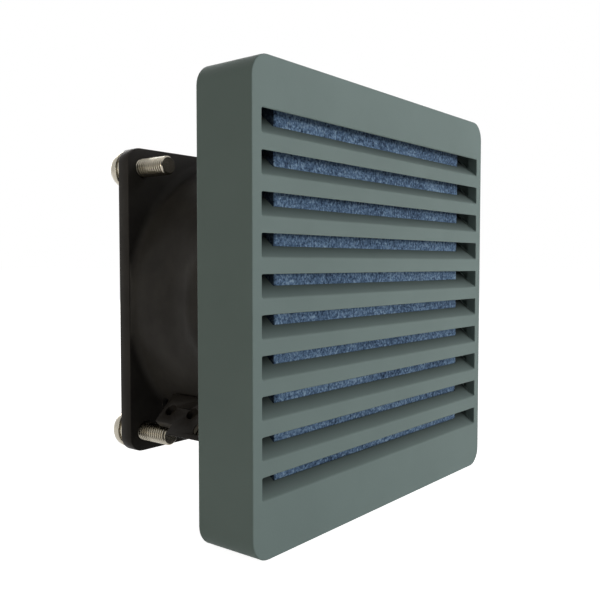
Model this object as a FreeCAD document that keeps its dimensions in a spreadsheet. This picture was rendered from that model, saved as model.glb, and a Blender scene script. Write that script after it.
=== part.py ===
"""Cabinet filter fan: a louvred cover, filter mat and base frame in front, an 80 mm axial fan behind.

Frame: the origin is on the fan's axis in the plane of the cabinet panel's front.
+Y points into the cabinet, so the louvred cover faces -Y, and +Z is up.
"""
import FreeCAD, Part
import Sketcher
import math
import os
import re

Vector = FreeCAD.Vector
doc = FreeCAD.newDocument("CabinetFilterFan")

# Driving sizes, in millimetres unless the name says otherwise.
SIZES = {
    # Fan: the square housing, its screws and its duct.
    "fan_width": 80,
    "fan_depth": 38,
    "fan_corner": 4,
    "fan_flange": 4,
    "screw_inset": 5.15,
    "screw_hole": 5.3,
    "duct_wall": 2.1,
    "flare_length": 11.1,
    "flare_slope": 0.34,
    "side_wall": 1.4,
    "strut_width": 4,
    "strut_depth": 4.2,
    "strut_end_gap": 0.1,
    "motor_base_radius": 20,
    "motor_base_wall": 2.5,
    "motor_rim_wall": 1.5,
    "motor_rim_height": 3.5,
    # Base frame: a sleeve round the fan and through the cut-out, and a flange outside the panel.
    "fan_room": 3,
    "fan_standoff": 4.4,
    "sleeve_wall": 2.3,
    "sleeve_play": 0.7,
    "sleeve_reach": 7,
    "sleeve_corner": 4,
    "pocket_corner": 3,
    "flange_overlap": 3.9,
    "flange_thickness": 2.5,
    "gasket_thickness": 2,
    "gasket_inset": 0.5,
    "gasket_margin": 1.4,
    "back_wall": 3,
    # Filter grid on a ledge of the sleeve, and finger guard in pockets of the back wall.
    "ledge_width": 1,
    "grid_bar": 1.5,
    "grid_pitch": 10.5,
    "grid_play": 0.15,
    "guard_bar": 1.6,
    "guard_pitch": 8,
    "guard_depth": 1.8,
    "guard_inset": 0.2,
    "guard_foot": 7.6,
    "guard_play": 0.1,
    # Cover: a shallow square cap with a field of sloping slots.
    "cover_depth": 16,
    "cover_corner": 5,
    "cover_wall": 2,
    "cover_face": 3,
    "cover_play": 0.6,
    "slot_margin": 3,
    "slot_field_margin": 9.5,
    "slot_height": 4.9,
    "slot_pitch": 8.46,
    "slot_rise": 2.6,
    "slot_field_shift": 0.8,
    "arm_width": 12,
    "arm_shift": 25,
    "arm_wall": 1.2,
    "arm_play": 0.3,
    "arm_end_gap": 0.5,
    # Filter mat.
    "filter_side_play": 0.7,
    "filter_thickness": 8,
    "filter_corner": 1,
    "filter_play": 0.1,
    # Spring pawls that hold the frame behind the panel's edge.
    "pawl_width": 10,
    "pawl_side_play": 0.3,
    "pawl_catch": 1.1,
    "panel_thickness": 1.9,
    "pawl_pivot_inset": 1.2,
    "pawl_pivot_depth": 5.4,
    "pawl_pin_radius": 0.8,
    "pawl_pin_play": 0.05,
    "pawl_tip": 1.4,
    "cheek_wall": 3,
    "window_front": 0.8,
    "window_inset": 0.1,
    "tower_reach": 2.2,
    # Bearings and shaft.
    "shaft_radius": 1.5,
    "shaft_chamfer": 0.3,
    "shaft_tail": 0.9,
    "shaft_cap_gap": 0.4,
    "bearing_radius": 5,
    "bearing_width": 4,
    "bearing_play": 0.03,
    "race_wall": 0.8,
    "shield_inset": 0.2,
    "tube_wall": 1.2,
    "tube_shoulder": 0.8,
    "tube_inset": 12.9,
    "tube_recess": 1,
    "front_bearing_inset": 0.5,
    "spring_gap": 1,
    "spring_wall": 1.5,
    "spring_play": 0.1,
    "clip_thickness": 0.6,
    "clip_radius": 3.2,
    "clip_gap": 0.3,
    "clip_mouth": 2.4,
    "cap_thickness": 0.8,
    # Stator.
    "stator_setback": 1.7,
    "stator_recess": 4.2,
    "stator_radius": 13.2,
    "stator_ring": 2,
    "pole_neck": 4,
    "pole_shoe": 2,
    "pole_gap": 4.6,
    "bobbin_wall": 0.4,
    "coil_wall": 1.6,
    "coil_length": 1.8,
    "coil_play": 0.3,
    # Rotor and impeller.
    "air_gap": 0.4,
    "cage_wall": 3.3,
    "cage_overhang": 1,
    "cup_wall": 1.2,
    "cup_inset": 8.1,
    "cup_boss_radius": 3.6,
    "cup_boss_length": 3,
    "rotor_gap": 1.2,
    "hub_wall": 1.5,
    "hub_eye": 9,
    "hub_front_wall": 1.2,
    "tip_gap": 0.6,
    "blade_count": 7,
    "blade_inset": 5.6,
    "blade_depth": 17.5,
    "blade_root_sweep": 13,
    "blade_tip_sweep": 27,
    "blade_camber": 2.2,
    "blade_thickness": 1.3,
    "blade_edge": 0.5,
    "blade_root_depth": 2.5,
    # Terminal block in the lower left corner, seen from the front.
    "block_offset": 5.16,
    "block_inset": 8,
    "block_recess": 7.35,
    "block_floor_inset": 7,
    "block_notch_depth": 6.35,
    "block_notch_rise": 8.6,
    "block_groove_play": 0.4,
    "entry_radius": 1.65,
    "entry_depth": 2.9,
    "entry_pitch": 7.87,
    "entry_inset": 2.98,
    "entry_rise": 4.6,
    "earth_inset": 2.6,
    "earth_rise": 1.83,
    "earth_depth": 1.3,
    "insert_depth": 0.4,
    "terminal_screw_radius": 1.5,
    "terminal_screw_depth": 0.8,
    "terminal_slot_width": 0.6,
    "terminal_slot_depth": 0.5,
    # Leads from the block to the stator.
    "lead_radius": 0.7,
    "lead_pitch": 1.7,
    "lead_rise": 2,
    "lead_depth": 2.5,
    "lead_play": 0.3,
    # Screws, nuts and washers, size M5.
    "thread_radius": 2.45,
    "thread_chamfer": 0.6,
    "head_radius": 5,
    "head_height": 3.8,
    "head_rim": 2.1,
    "head_crown": 0.4,
    "head_shoulder": 1,
    "head_flat": 2,
    "recess_width": 1.3,
    "recess_depth": 2,
    "washer_radius": 4.6,
    "washer_thickness": 1.2,
    "slit_width": 1,
    "rear_screw_length": 15,
    "front_screw_length": 10,
    "nut_radius": 4.62,
    "nut_thickness": 2.7,
    # How far a cutter runs past what it cuts, and how far a rib is rooted in its wall.
    "past": 1,
    "root": 1,
}

# Places that follow from the sizes. Each may use any size, and any place above it.
PLACES = {
    "barrel_radius": "fan_width / 2",
    "duct_radius": "barrel_radius - duct_wall",
    "screw_half": "fan_width / 2 - screw_inset",
    "fan_rear": "fan_standoff + fan_depth",
    "rear_flange_front": "fan_rear - fan_flange",
    "flare_front_radius": "barrel_radius + flare_slope * (flare_length + fan_flange)",
    "motor_base_front": "fan_rear - motor_base_wall",
    "motor_rim_front": "motor_base_front - motor_rim_height",
    "strut_front": "fan_rear - strut_depth",
    "strut_length": "duct_radius - strut_end_gap - motor_base_radius + root",
    "sleeve_inside": "fan_width / 2 + fan_room",
    "sleeve_half": "sleeve_inside + sleeve_wall",
    "cutout_half": "sleeve_half + sleeve_play",
    "flange_half": "cutout_half + flange_overlap",
    "flange_front": "-gasket_thickness - flange_thickness",
    "gasket_half": "flange_half - gasket_inset",
    "gasket_inside": "cutout_half + gasket_margin",
    "back_wall_front": "fan_standoff - back_wall",
    "guard_rings": "floor(duct_radius / guard_pitch)",
    "guard_front": "fan_standoff - guard_inset - guard_depth",
    "guard_reach": "duct_radius + guard_foot",
    "cover_inside": "flange_half + cover_play",
    "cover_width": "2 * (cover_inside + cover_wall)",
    "cover_front": "-cover_depth",
    "face_back": "cover_face - cover_depth",
    "slot_length": "cover_width - 2 * slot_margin",
    "slot_count": "floor((cover_width - 2 * slot_field_margin) / slot_pitch)",
    "filter_half": "sleeve_inside - filter_side_play",
    "filter_front": "face_back + filter_play",
    "filter_back": "filter_front + filter_thickness",
    "grid_back": "filter_back + grid_bar",
    "grid_half": "sleeve_inside - grid_play",
    "grid_steps": "floor((sleeve_inside - grid_bar) / grid_pitch)",
    "tower_top": "fan_standoff + tower_reach",
    "pawl_pivot_x": "sleeve_inside + pawl_pivot_inset",
    "tube_radius": "bearing_radius + tube_wall",
    "tube_front": "fan_standoff + tube_inset",
    "tube_rear": "fan_rear - tube_recess",
    "shaft_rear": "tube_rear - cap_thickness - shaft_cap_gap",
    "clip_front": "shaft_rear - shaft_tail - clip_thickness",
    "rear_bearing_front": "clip_front - clip_gap - bearing_width",
    "front_bearing_front": "tube_front + front_bearing_inset",
    "cup_front": "fan_standoff + cup_inset",
    "cup_rear": "motor_rim_front - rotor_gap",
    "stator_front": "tube_front + stator_setback",
    "stator_rear": "cup_rear - stator_recess",
    "stator_length": "stator_rear - stator_front",
    "cage_inside": "stator_radius + air_gap",
    "cage_radius": "cage_inside + cage_wall",
    "cage_front": "stator_front - cage_overhang",
    "cage_length": "stator_length + 2 * cage_overhang",
    "cup_radius": "cage_radius + cup_wall",
    "hub_radius": "cup_radius + hub_wall",
    "tip_radius": "duct_radius - tip_gap",
    "blade_front": "fan_standoff + blade_inset",
    "blade_rear": "blade_front + blade_depth",
    "coil_inside": "tube_radius + stator_ring + coil_play",
    "bobbin_over": "bobbin_wall + coil_wall",
    "coil_rear": "stator_rear + bobbin_over",
    "block_inner": "duct_radius - duct_wall",
    "block_front": "fan_standoff + block_inset",
    "block_rear": "rear_flange_front - block_recess",
    "block_floor": "fan_width / 2 - block_floor_inset",
    "block_notch_place": "block_rear - block_notch_depth",
    "block_notch_reach": "barrel_radius + block_notch_rise",
    "entry_rear_place": "block_rear - entry_inset",
    "entry_reach": "barrel_radius + entry_rise",
    "earth_place": "block_front + earth_inset",
    "earth_reach": "sqrt(2) * block_floor + earth_rise",
    "lead_reach": "barrel_radius + lead_rise",
    "lead_plane": "motor_base_front - lead_depth",
    "lead_end_reach": "coil_inside + coil_length / 2",
}

sheet = doc.addObject("Spreadsheet::Sheet", "Sizes")
for row, (size_name, value) in enumerate(SIZES.items(), start=1):
    sheet.set(f"A{row}", size_name)
    sheet.set(f"B{row}", str(value))
    sheet.setAlias(f"B{row}", size_name)
doc.recompute()


def linked(text):
    """The formula with each size and place written as a reference to its sheet."""
    def link(match):
        word = match.group(0)
        if word in SIZES:
            return f"Sizes.{word}"
        if word in PLACES:
            return f"Places.{word}"
        return word
    return re.sub(r"[a-z]\w*", link, str(text))


places = doc.addObject("Spreadsheet::Sheet", "Places")
for row, (place_name, formula) in enumerate(PLACES.items(), start=1):
    places.set(f"A{row}", place_name)
    places.set(f"B{row}", "=" + linked(formula))
    places.setAlias(f"B{row}", place_name)
doc.recompute()


def size(word):
    """The present value of a size or a place."""
    holder = sheet if word in SIZES else places
    return float(holder.get(word))


def new(kind, name):
    """A new document object whose name no other has."""
    return doc.addObject(kind, name)


def bind(item, **formulas):
    """Ties properties to formulas. Two underscores in a name stand for a dot."""
    for name, formula in formulas.items():
        item.setExpression(name.replace("__", "."), linked(formula))
    return item


def at(item, x="0", y="0", z="0", rotation=None):
    """Puts an object at a place given by formulas."""
    if rotation is not None:
        item.Placement = FreeCAD.Placement(Vector(), rotation)
    return bind(item, Placement__Base__x=x, Placement__Base__y=y, Placement__Base__z=z)


ALONG_Y = FreeCAD.Rotation(Vector(1, 0, 0), -90)


def block(name, x, y, z):
    """A box. Each direction is given as its low side and its size."""
    item = new("Part::Box", name)
    bind(item, Length=x[1], Width=y[1], Height=z[1])
    return at(item, x[0], y[0], z[0])


def centred_block(name, width, y, height):
    """A box centred on the fan's axis, with its low side and its size along Y."""
    return block(name, (f"-({width}) / 2", width), y, (f"-({height}) / 2", height))


def rod(name, radius, y, x="0", z="0"):
    """A cylinder along Y from its low end, for a given length."""
    item = bind(new("Part::Cylinder", name), Radius=radius, Height=y[1])
    return at(item, x, y[0], z, ALONG_Y)


def taper(name, low_radius, high_radius, y):
    """A cone along Y."""
    item = bind(new("Part::Cone", name), Radius1=low_radius, Radius2=high_radius, Height=y[1])
    return at(item, "0", y[0], "0", ALONG_Y)


def fuse(name, parts):
    item = new("Part::MultiFuse", name)
    item.Shapes = list(parts)
    item.Refine = True
    return item


def cut(name, base, tools):
    item = new("Part::Cut", name)
    item.Base = base
    item.Tool = tools[0] if len(tools) == 1 else fuse(name + "_tools", tools)
    item.Refine = True
    return item


def overlap(name, parts):
    item = new("Part::MultiCommon", name)
    item.Shapes = list(parts)
    return item


def group(name, parts):
    """Several solids that make one node, such as a set of screws."""
    item = new("Part::Compound", name)
    item.Links = list(parts)
    return item


def rounded_plate(name, width, corner, y):
    """A square plate with round corners, centred on the fan's axis."""
    middle = f"({width}) - 2 * ({corner})"
    parts = [centred_block(name + "_wide", width, y, middle),
             centred_block(name + "_tall", middle, y, width)]
    reach = f"(({width}) / 2 - ({corner}))"
    for index, (side, level) in enumerate(CORNERS):
        parts.append(rod(f"{name}_corner{index}", corner, y, f"{side} * {reach}", f"{level} * {reach}"))
    return fuse(name, parts)


def corner_rods(name, radius, y):
    """Four cylinders along Y at the fan's screw places."""
    return [rod(f"{name}{index}", radius, y, f"{side} * screw_half", f"{level} * screw_half")
            for index, (side, level) in enumerate(CORNERS)]


def spun(item, angle, name=None):
    """Holds a placed piece in a compound that is turned about the fan's axis by an angle in degrees."""
    holder = group(name or item.Name + "_turned", [item])
    holder.Placement = FreeCAD.Placement(Vector(), FreeCAD.Rotation(Vector(0, 1, 0), angle))
    return holder


# The four corners as signs of X and Z, and turns about the fan's axis in degrees.
CORNERS = [(-1, -1), (1, -1), (1, 1), (-1, 1)]
QUARTER_ANGLES = (0, 90, 180, 270)
DIAGONAL_ANGLES = (45, 135, 225, 315)
LEAD_ANGLE = 135


def origin_plane(body, role):
    return next(feature for feature in body.Origin.OriginFeatures if feature.Role == role)


def outline_sketch(body, plane, points):
    """A closed outline on one of the body's planes, each corner held by two driven dimensions."""
    sketch = body.newObject("Sketcher::SketchObject", body.Name + "_outline")
    sketch.AttachmentSupport = [(origin_plane(body, plane), "")]
    sketch.MapMode = "FlatFace"
    corners = [Vector(number(x), number(y), 0) for x, y in points]
    following = corners[1:] + corners[:1]
    for start, end in zip(corners, following):
        sketch.addGeometry(Part.LineSegment(start, end), False)
    for index in range(len(corners)):
        sketch.addConstraint(Sketcher.Constraint("Coincident", index, 2, (index + 1) % len(corners), 1))
    for index, (x, y) in enumerate(points):
        corner = corners[index]
        for direction, formula, value in (("DistanceX", x, corner.x), ("DistanceY", y, corner.y)):
            held = sketch.addConstraint(Sketcher.Constraint(direction, -1, 1, index, 1, value))
            sketch.setExpression(f"Constraints[{held}]", linked(formula))
    return sketch


SCRATCH = doc.addObject("Spreadsheet::Sheet", "Scratch")


def number(formula):
    """The present value of a formula, worked out by the sheet."""
    SCRATCH.set("A1", "=" + linked(formula))
    SCRATCH.recompute()
    return float(SCRATCH.get("A1"))


def turned(name, points, x="0", z="0", y="0", rotation=None):
    """A turned piece: an outline of (radius, place along Y) corners swept once round the Y axis."""
    body = new("PartDesign::Body", name)
    sketch = outline_sketch(body, "XY_Plane", points)
    sweep = body.newObject("PartDesign::Revolution", name + "_turning")
    sweep.Profile = sketch
    sweep.ReferenceAxis = (sketch, ["V_Axis"])
    sweep.Angle = 360
    return at(body, x, y, z, rotation)


def profiled(name, plane, points, low, length, rotation=None, y="0"):
    """A prism of an outline, from a low plane and for a length, along Y for XZ and Z for XY."""
    body = new("PartDesign::Body", name)
    sketch = outline_sketch(body, plane, points)
    towards_minus = plane == "XZ_Plane"
    offset = f"-({low})" if towards_minus else low
    sketch.setExpression("AttachmentOffset.Base.z", linked(offset))
    pad = bind(body.newObject("PartDesign::Pad", name + "_pad"), Length=length)
    pad.Profile = sketch
    pad.Reversed = towards_minus
    return at(body, "0", y, "0", rotation)


def ring_outline(inside, outside, front, rear):
    return [(inside, front), (outside, front), (outside, rear), (inside, rear)]


def named(item, label=None):
    """Marks an object as one of the fan's pieces."""
    item.Label = label or item.Name
    NODES.append(item)
    return item


NODES = []


# Cover: cap, slots and the four arms that grip the sleeve.
def make_cover():
    outer = rounded_plate("cover_outer", "cover_width", "cover_corner", ("cover_front", "cover_depth"))
    hollow = rounded_plate("cover_hollow", "2 * cover_inside", "cover_corner - cover_wall",
                           ("face_back", "cover_depth - cover_face + past"))
    shell = cut("cover_shell", outer, [hollow])
    slope = "(slot_rise / cover_face)"
    slots = []
    for index in range(round(size("slot_count"))):
        centre = f"(((slot_count - 1) / 2 - {index}) * slot_pitch + slot_field_shift)"
        low = f"({centre} - slot_height / 2)"
        high = f"({centre} + slot_height / 2)"
        slots.append(profiled(f"slot{index}", "YZ_Plane", [
            ("cover_front - past", f"{low} - {slope} * past"),
            ("face_back + past", f"{low} + {slope} * (cover_face + past)"),
            ("face_back + past", f"{high} + {slope} * (cover_face + past)"),
            ("cover_front - past", f"{high} - {slope} * past"),
        ], "-slot_length / 2", "slot_length"))
    arms = []
    for turn in (90, 270):
        for side in (-1, 1):
            arm = profiled(f"cover_arm{turn}_{side + 1}", "XY_Plane", [
                ("sleeve_half + arm_play", "face_back"),
                ("sleeve_half + arm_play + arm_wall", "face_back"),
                ("sleeve_half + arm_play + arm_wall", "flange_front - arm_end_gap"),
                ("sleeve_half + arm_play + arm_wall / 3", "flange_front - arm_end_gap"),
                ("sleeve_half + arm_play", "flange_front - 2 * arm_end_gap"),
            ], f"{side} * arm_shift - arm_width / 2", "arm_width")
            arms.append(spun(arm, turn))
    named(fuse("cover", [cut("cover_slotted", shell, slots)] + arms))


# Filter mat: a square pad of non-woven fibre right behind the cover's face.
def make_filter():
    named(rounded_plate("filter_mat", "2 * filter_half", "filter_corner",
                        ("filter_front", "filter_thickness")))


# Gasket: a foam ring between the frame's flange and the cabinet panel.
def make_gasket():
    outer = rounded_plate("gasket_outer", "2 * gasket_half", "sleeve_corner",
                          ("-gasket_thickness", "gasket_thickness"))
    inner = rounded_plate("gasket_inner", "2 * gasket_inside", "pocket_corner",
                          ("-gasket_thickness - past", "gasket_thickness + 2 * past"))
    named(cut("panel_gasket", outer, [inner]))


# Base frame: sleeve, flange and back wall with the fan's opening.
def make_base_frame():
    sleeve = rounded_plate("sleeve", "2 * sleeve_half", "sleeve_corner",
                           ("-sleeve_reach", "sleeve_reach + fan_standoff"))
    flange = rounded_plate("frame_flange", "2 * flange_half", "cover_corner - cover_wall",
                           ("flange_front", "flange_thickness"))
    towers = []
    openings = []
    for turn in QUARTER_ANGLES:
        tower = block(f"tower{turn}", ("sleeve_inside", "sleeve_wall"), ("0", "tower_top"),
                      ("-pawl_width / 2 - cheek_wall", "pawl_width + 2 * cheek_wall"))
        towers.append(spun(tower, turn))
        window = block(f"pawl_window{turn}", ("sleeve_inside - window_inset", "sleeve_wall + past"),
                       ("window_front", "tower_top"),
                       ("-pawl_width / 2 - pawl_side_play", "pawl_width + 2 * pawl_side_play"))
        openings.append(spun(window, turn))
        pin_hole = pawl_pin(f"pawl_pin_hole{turn}", "pawl_pin_radius + pawl_pin_play", "cheek_wall + past")
        openings.append(spun(pin_hole, turn))
    openings.append(rounded_plate("frame_pocket", "2 * sleeve_inside", "pocket_corner",
                                  ("-sleeve_reach - past", "grid_back + sleeve_reach + past")))
    openings.append(rounded_plate("frame_well", "2 * (sleeve_inside - ledge_width)", "pocket_corner",
                                  ("-sleeve_reach", "sleeve_reach + back_wall_front")))
    through = ("back_wall_front - past", "back_wall + 2 * past")
    openings.append(rod("frame_duct", "duct_radius", through))
    openings += corner_rods("frame_screw_hole", "screw_hole / 2", through)
    openings += guard_spokes("guard_pocket", "guard_play", "guard_depth + guard_inset + past")
    named(cut("base_frame", fuse("frame_solid", [sleeve, flange] + towers), openings))


def guard_spokes(name, play, depth):
    """The guard's two crossing spokes, grown all round by a play and as deep as given."""
    spokes = []
    for angle in (45, 135):
        spoke = block(f"{name}{angle}", (f"-guard_reach - {play}", f"2 * (guard_reach + {play})"),
                      ("guard_front", depth), (f"-guard_bar / 2 - {play}", f"guard_bar + 2 * {play}"))
        spokes.append(spun(spoke, angle))
    return spokes


# Finger guard: rings on two spokes, whose ends lie in the back wall's pockets under the fan's flange.
def make_finger_guard():
    rings = []
    for ring in range(1, round(size("guard_rings")) + 1):
        inside = f"({ring} * guard_pitch)"
        rings.append(turned(f"guard_ring{ring}", ring_outline(
            inside, f"{inside} + guard_bar", "guard_front", "guard_front + guard_depth")))
    named(fuse("finger_guard", rings + guard_spokes("guard_spoke", "0", "guard_depth")))


# Filter grid: a square rim with crossing bars, which lies on the sleeve's ledge and carries the mat.
def make_filter_grid():
    span = ("filter_back", "grid_bar")
    rim = rounded_plate("grid_rim", "2 * grid_half", "pocket_corner - grid_play", span)
    inside = "2 * (grid_half - grid_bar)"
    opening = centred_block("grid_opening", inside, ("filter_back - past", "grid_bar + 2 * past"), inside)
    steps = round(size("grid_steps"))
    bars = []
    for step in range(-steps, steps + 1):
        for turn in (0, 90):
            bar = block(f"grid_bar{turn}_{step + steps}",
                        (f"{step} * grid_pitch - grid_bar / 2", "grid_bar"),
                        span, ("root - grid_half", "2 * (grid_half - root)"))
            bars.append(spun(bar, turn))
    named(fuse("filter_grid", [cut("grid_frame", rim, [opening])] + bars))


def pawl_pin(name, radius, beyond):
    """The pin line of the pawl on the +X side, reaching past the pawl's sides."""
    item = bind(new("Part::Cylinder", name), Radius=radius, Height=f"pawl_width + 2 * ({beyond})")
    return at(item, "pawl_pivot_x", "pawl_pivot_depth", f"-pawl_width / 2 - ({beyond})")


# Pawls: four sprung wedges that swing in through the cut-out and catch behind the panel.
def make_pawls():
    for turn, side in zip(QUARTER_ANGLES, ("right", "bottom", "left", "top")):
        wedge = profiled(f"pawl_wedge{turn}", "XY_Plane", [
            ("pawl_pivot_x - pawl_pin_radius", "pawl_pivot_depth - pawl_pin_radius"),
            ("pawl_pivot_x - pawl_pin_radius", "pawl_pivot_depth + pawl_pin_radius"),
            ("pawl_pivot_x + pawl_pin_radius", "pawl_pivot_depth + pawl_pin_radius"),
            ("sleeve_half", "pawl_pivot_depth"),
            ("cutout_half + pawl_catch", "panel_thickness"),
            ("cutout_half + pawl_catch - pawl_tip", "panel_thickness"),
        ], "-pawl_width / 2", "pawl_width")
        pin = pawl_pin(f"pawl_trunnion{turn}", "pawl_pin_radius", "cheek_wall - pawl_side_play")
        named(spun(fuse(f"pawl_solid{turn}", [wedge, pin]), turn, f"panel_pawl_{side}"))


# Fan housing: flanges and barrel with its corner flare.
def make_housing():
    whole = ("fan_standoff", "fan_depth")
    through = ("fan_standoff - past", "fan_depth + 2 * past")
    envelope = rounded_plate("fan_envelope", "fan_width", "fan_corner", whole)
    flare_span = ("fan_standoff", "fan_flange + flare_length")
    flare_cone = taper("flare_cone", "flare_front_radius", "barrel_radius", flare_span)
    flare = overlap("flare", [flare_cone, envelope])
    flanges = [rounded_plate("front_flange", "fan_width", "fan_corner", ("fan_standoff", "fan_flange")),
               rounded_plate("rear_flange", "fan_width", "fan_corner", ("rear_flange_front", "fan_flange"))]
    walls = fuse("fan_walls", flanges + [rod("barrel", "barrel_radius", whole), flare])
    inner_flare = overlap("inner_flare", [
        taper("inner_cone", "flare_front_radius - duct_wall", "duct_radius", flare_span),
        rounded_plate("inner_envelope", "fan_width - 2 * side_wall", "fan_corner", whole)])
    air = [rod("duct", "duct_radius", through), inner_flare]
    air += corner_rods("fan_screw_hole", "screw_hole / 2", through)
    named(cut("fan_housing", walls, air + [lead_window("barrel_window")]))


def lead_window(name):
    """The way that the two leads take through the barrel and the motor base's rim."""
    window = block(name, ("motor_base_radius - motor_rim_wall - past", "barrel_radius"),
                   ("lead_plane - lead_radius - lead_play", "2 * (lead_radius + lead_play)"),
                   ("-lead_pitch / 2 - lead_radius - lead_play",
                    "lead_pitch + 2 * (lead_radius + lead_play)"))
    return spun(window, LEAD_ANGLE)


# Motor spider: the motor base on four struts, as deep as the rear flange.
def make_spider():
    base = turned("motor_base", [
        ("tube_radius", "motor_base_front"),
        ("motor_base_radius - motor_rim_wall", "motor_base_front"),
        ("motor_base_radius - motor_rim_wall", "motor_rim_front"),
        ("motor_base_radius", "motor_rim_front"),
        ("motor_base_radius", "fan_rear"),
        ("tube_radius", "fan_rear"),
    ])
    struts = []
    for angle in DIAGONAL_ANGLES:
        strut = block(f"strut{angle}", ("motor_base_radius - root", "strut_length"),
                      ("strut_front", "strut_depth"), ("-strut_width / 2", "strut_width"))
        struts.append(spun(strut, angle))
    named(cut("motor_spider", fuse("spider_solid", [base] + struts), [lead_window("base_window")]))


# Bearings: a pressed tube with a shoulder between two shielded ball bearings.
def make_bearings():
    shoulder = "(bearing_radius - tube_shoulder)"
    spring_front = "(rear_bearing_front - spring_gap)"
    named(turned("bearing_tube", [
        ("bearing_radius", "tube_front"),
        ("tube_radius", "tube_front"),
        ("tube_radius", "tube_rear"),
        ("bearing_radius", "tube_rear"),
        ("bearing_radius", spring_front),
        (shoulder, spring_front),
        (shoulder, "front_bearing_front + bearing_width"),
        ("bearing_radius", "front_bearing_front + bearing_width"),
    ]))
    make_bearing("front_bearing", "front_bearing_front")
    make_bearing("rear_bearing", "rear_bearing_front")
    named(turned("preload_spring", ring_outline(
        "bearing_radius - spring_play - spring_wall", "bearing_radius - spring_play",
        spring_front, "rear_bearing_front")))
    named(turned("bearing_cap", [
        ("0", "tube_rear - cap_thickness"),
        ("bearing_radius", "tube_rear - cap_thickness"),
        ("bearing_radius", "tube_rear"),
        ("tube_radius", "tube_rear"),
        ("tube_radius", "tube_rear + cap_thickness"),
        ("0", "tube_rear + cap_thickness"),
    ]))


def make_bearing(name, front):
    """A ring with two races that stand proud of the shields between them."""
    rear = f"({front} + bearing_width)"
    bore = "(shaft_radius + bearing_play)"
    named(turned(name, [
        (bore, front),
        (f"{bore} + race_wall", front),
        (f"{bore} + race_wall", f"{front} + shield_inset"),
        ("bearing_radius - race_wall", f"{front} + shield_inset"),
        ("bearing_radius - race_wall", front),
        ("bearing_radius", front),
        ("bearing_radius", rear),
        ("bearing_radius - race_wall", rear),
        ("bearing_radius - race_wall", f"{rear} - shield_inset"),
        (f"{bore} + race_wall", f"{rear} - shield_inset"),
        (f"{bore} + race_wall", rear),
        (bore, rear),
    ]))


# Stator: four poles on the bearing tube, each with a bobbin and a coil.
def make_stator():
    whole = ("stator_front", "stator_length")
    ring = turned("stator_ring", ring_outline(
        "tube_radius", "tube_radius + stator_ring", "stator_front", "stator_rear"))
    rim = turned("stator_rim", ring_outline(
        "stator_radius - pole_shoe", "stator_radius", "stator_front", "stator_rear"))
    gaps = [spun(block(f"pole_gap{angle}", ("-stator_radius - past", "2 * (stator_radius + past)"),
                       ("stator_front - past", "stator_length + 2 * past"),
                       ("-pole_gap / 2", "pole_gap")), angle)
            for angle in (0, 90)]
    shoes = cut("stator_shoes", rim, gaps)
    neck_foot = "(tube_radius + stator_ring / 2)"
    neck_span = (neck_foot, f"stator_radius - pole_shoe / 2 - {neck_foot}")
    necks = [spun(block(f"neck{angle}", neck_span, whole, ("-pole_neck / 2", "pole_neck")), angle)
             for angle in DIAGONAL_ANGLES]
    named(fuse("stator_core", [ring, shoes] + necks))
    bobbins = []
    coils = []
    for angle in DIAGONAL_ANGLES:
        bobbin = sleeve_on_neck(f"bobbin{angle}", "0", "bobbin_wall")
        coil = sleeve_on_neck(f"coil{angle}", "bobbin_wall", "bobbin_over")
        bobbins.append(spun(bobbin, angle))
        coils.append(spun(coil, angle))
    named(group("coil_bobbins", bobbins))
    named(group("stator_coils", coils))


def sleeve_on_neck(name, inner_skin, outer_skin):
    """A rectangular sleeve round the pole neck on the +X side, between two distances from its faces."""
    def layer(label, skin, beyond):
        return block(f"{name}_{label}", (f"coil_inside - {beyond}", f"coil_length + 2 * {beyond}"),
                     (f"stator_front - ({skin})", f"stator_length + 2 * ({skin})"),
                     (f"-pole_neck / 2 - ({skin})", f"pole_neck + 2 * ({skin})"))
    return cut(name, layer("outside", outer_skin, "0"), [layer("inside", inner_skin, "past")])


# Rotor: a steel cup on the shaft with the cage inside and the impeller pressed on.
def make_rotor():
    boss_rear = "(cup_front + cup_wall + cup_boss_length)"
    named(turned("rotor_cup", [
        ("shaft_radius", "cup_front"),
        ("cup_radius", "cup_front"),
        ("cup_radius", "cup_rear"),
        ("cage_radius", "cup_rear"),
        ("cage_radius", "cup_front + cup_wall"),
        ("cup_boss_radius", "cup_front + cup_wall"),
        ("cup_boss_radius", boss_rear),
        ("shaft_radius", boss_rear),
    ]))
    named(turned("rotor_cage", ring_outline(
        "cage_inside", "cage_radius", "cage_front", "cage_front + cage_length")))
    named(turned("shaft", [
        ("0", "cup_front"),
        ("shaft_radius", "cup_front"),
        ("shaft_radius", "shaft_rear - shaft_chamfer"),
        ("shaft_radius - shaft_chamfer", "shaft_rear"),
        ("0", "shaft_rear"),
    ]))
    clip = turned("clip_ring", ring_outline(
        "shaft_radius", "clip_radius", "clip_front", "clip_front + clip_thickness"))
    mouth = block("clip_opening", ("0", "clip_radius + past"),
                  ("clip_front - past", "clip_thickness + 2 * past"), ("-clip_mouth / 2", "clip_mouth"))
    named(cut("retaining_clip", clip, [mouth]))
    hub = turned("impeller_hub", [
        ("hub_eye", "cup_front - hub_front_wall"),
        ("hub_radius - hub_front_wall", "cup_front - hub_front_wall"),
        ("hub_radius", "cup_front"),
        ("hub_radius", "cup_rear"),
        ("cup_radius", "cup_rear"),
        ("cup_radius", "cup_front"),
        ("hub_eye", "cup_front"),
    ])
    doc.recompute()
    impeller = new("Part::Feature", "impeller")
    impeller.Shape = impeller_shape(hub.Shape)
    named(impeller)


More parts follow.
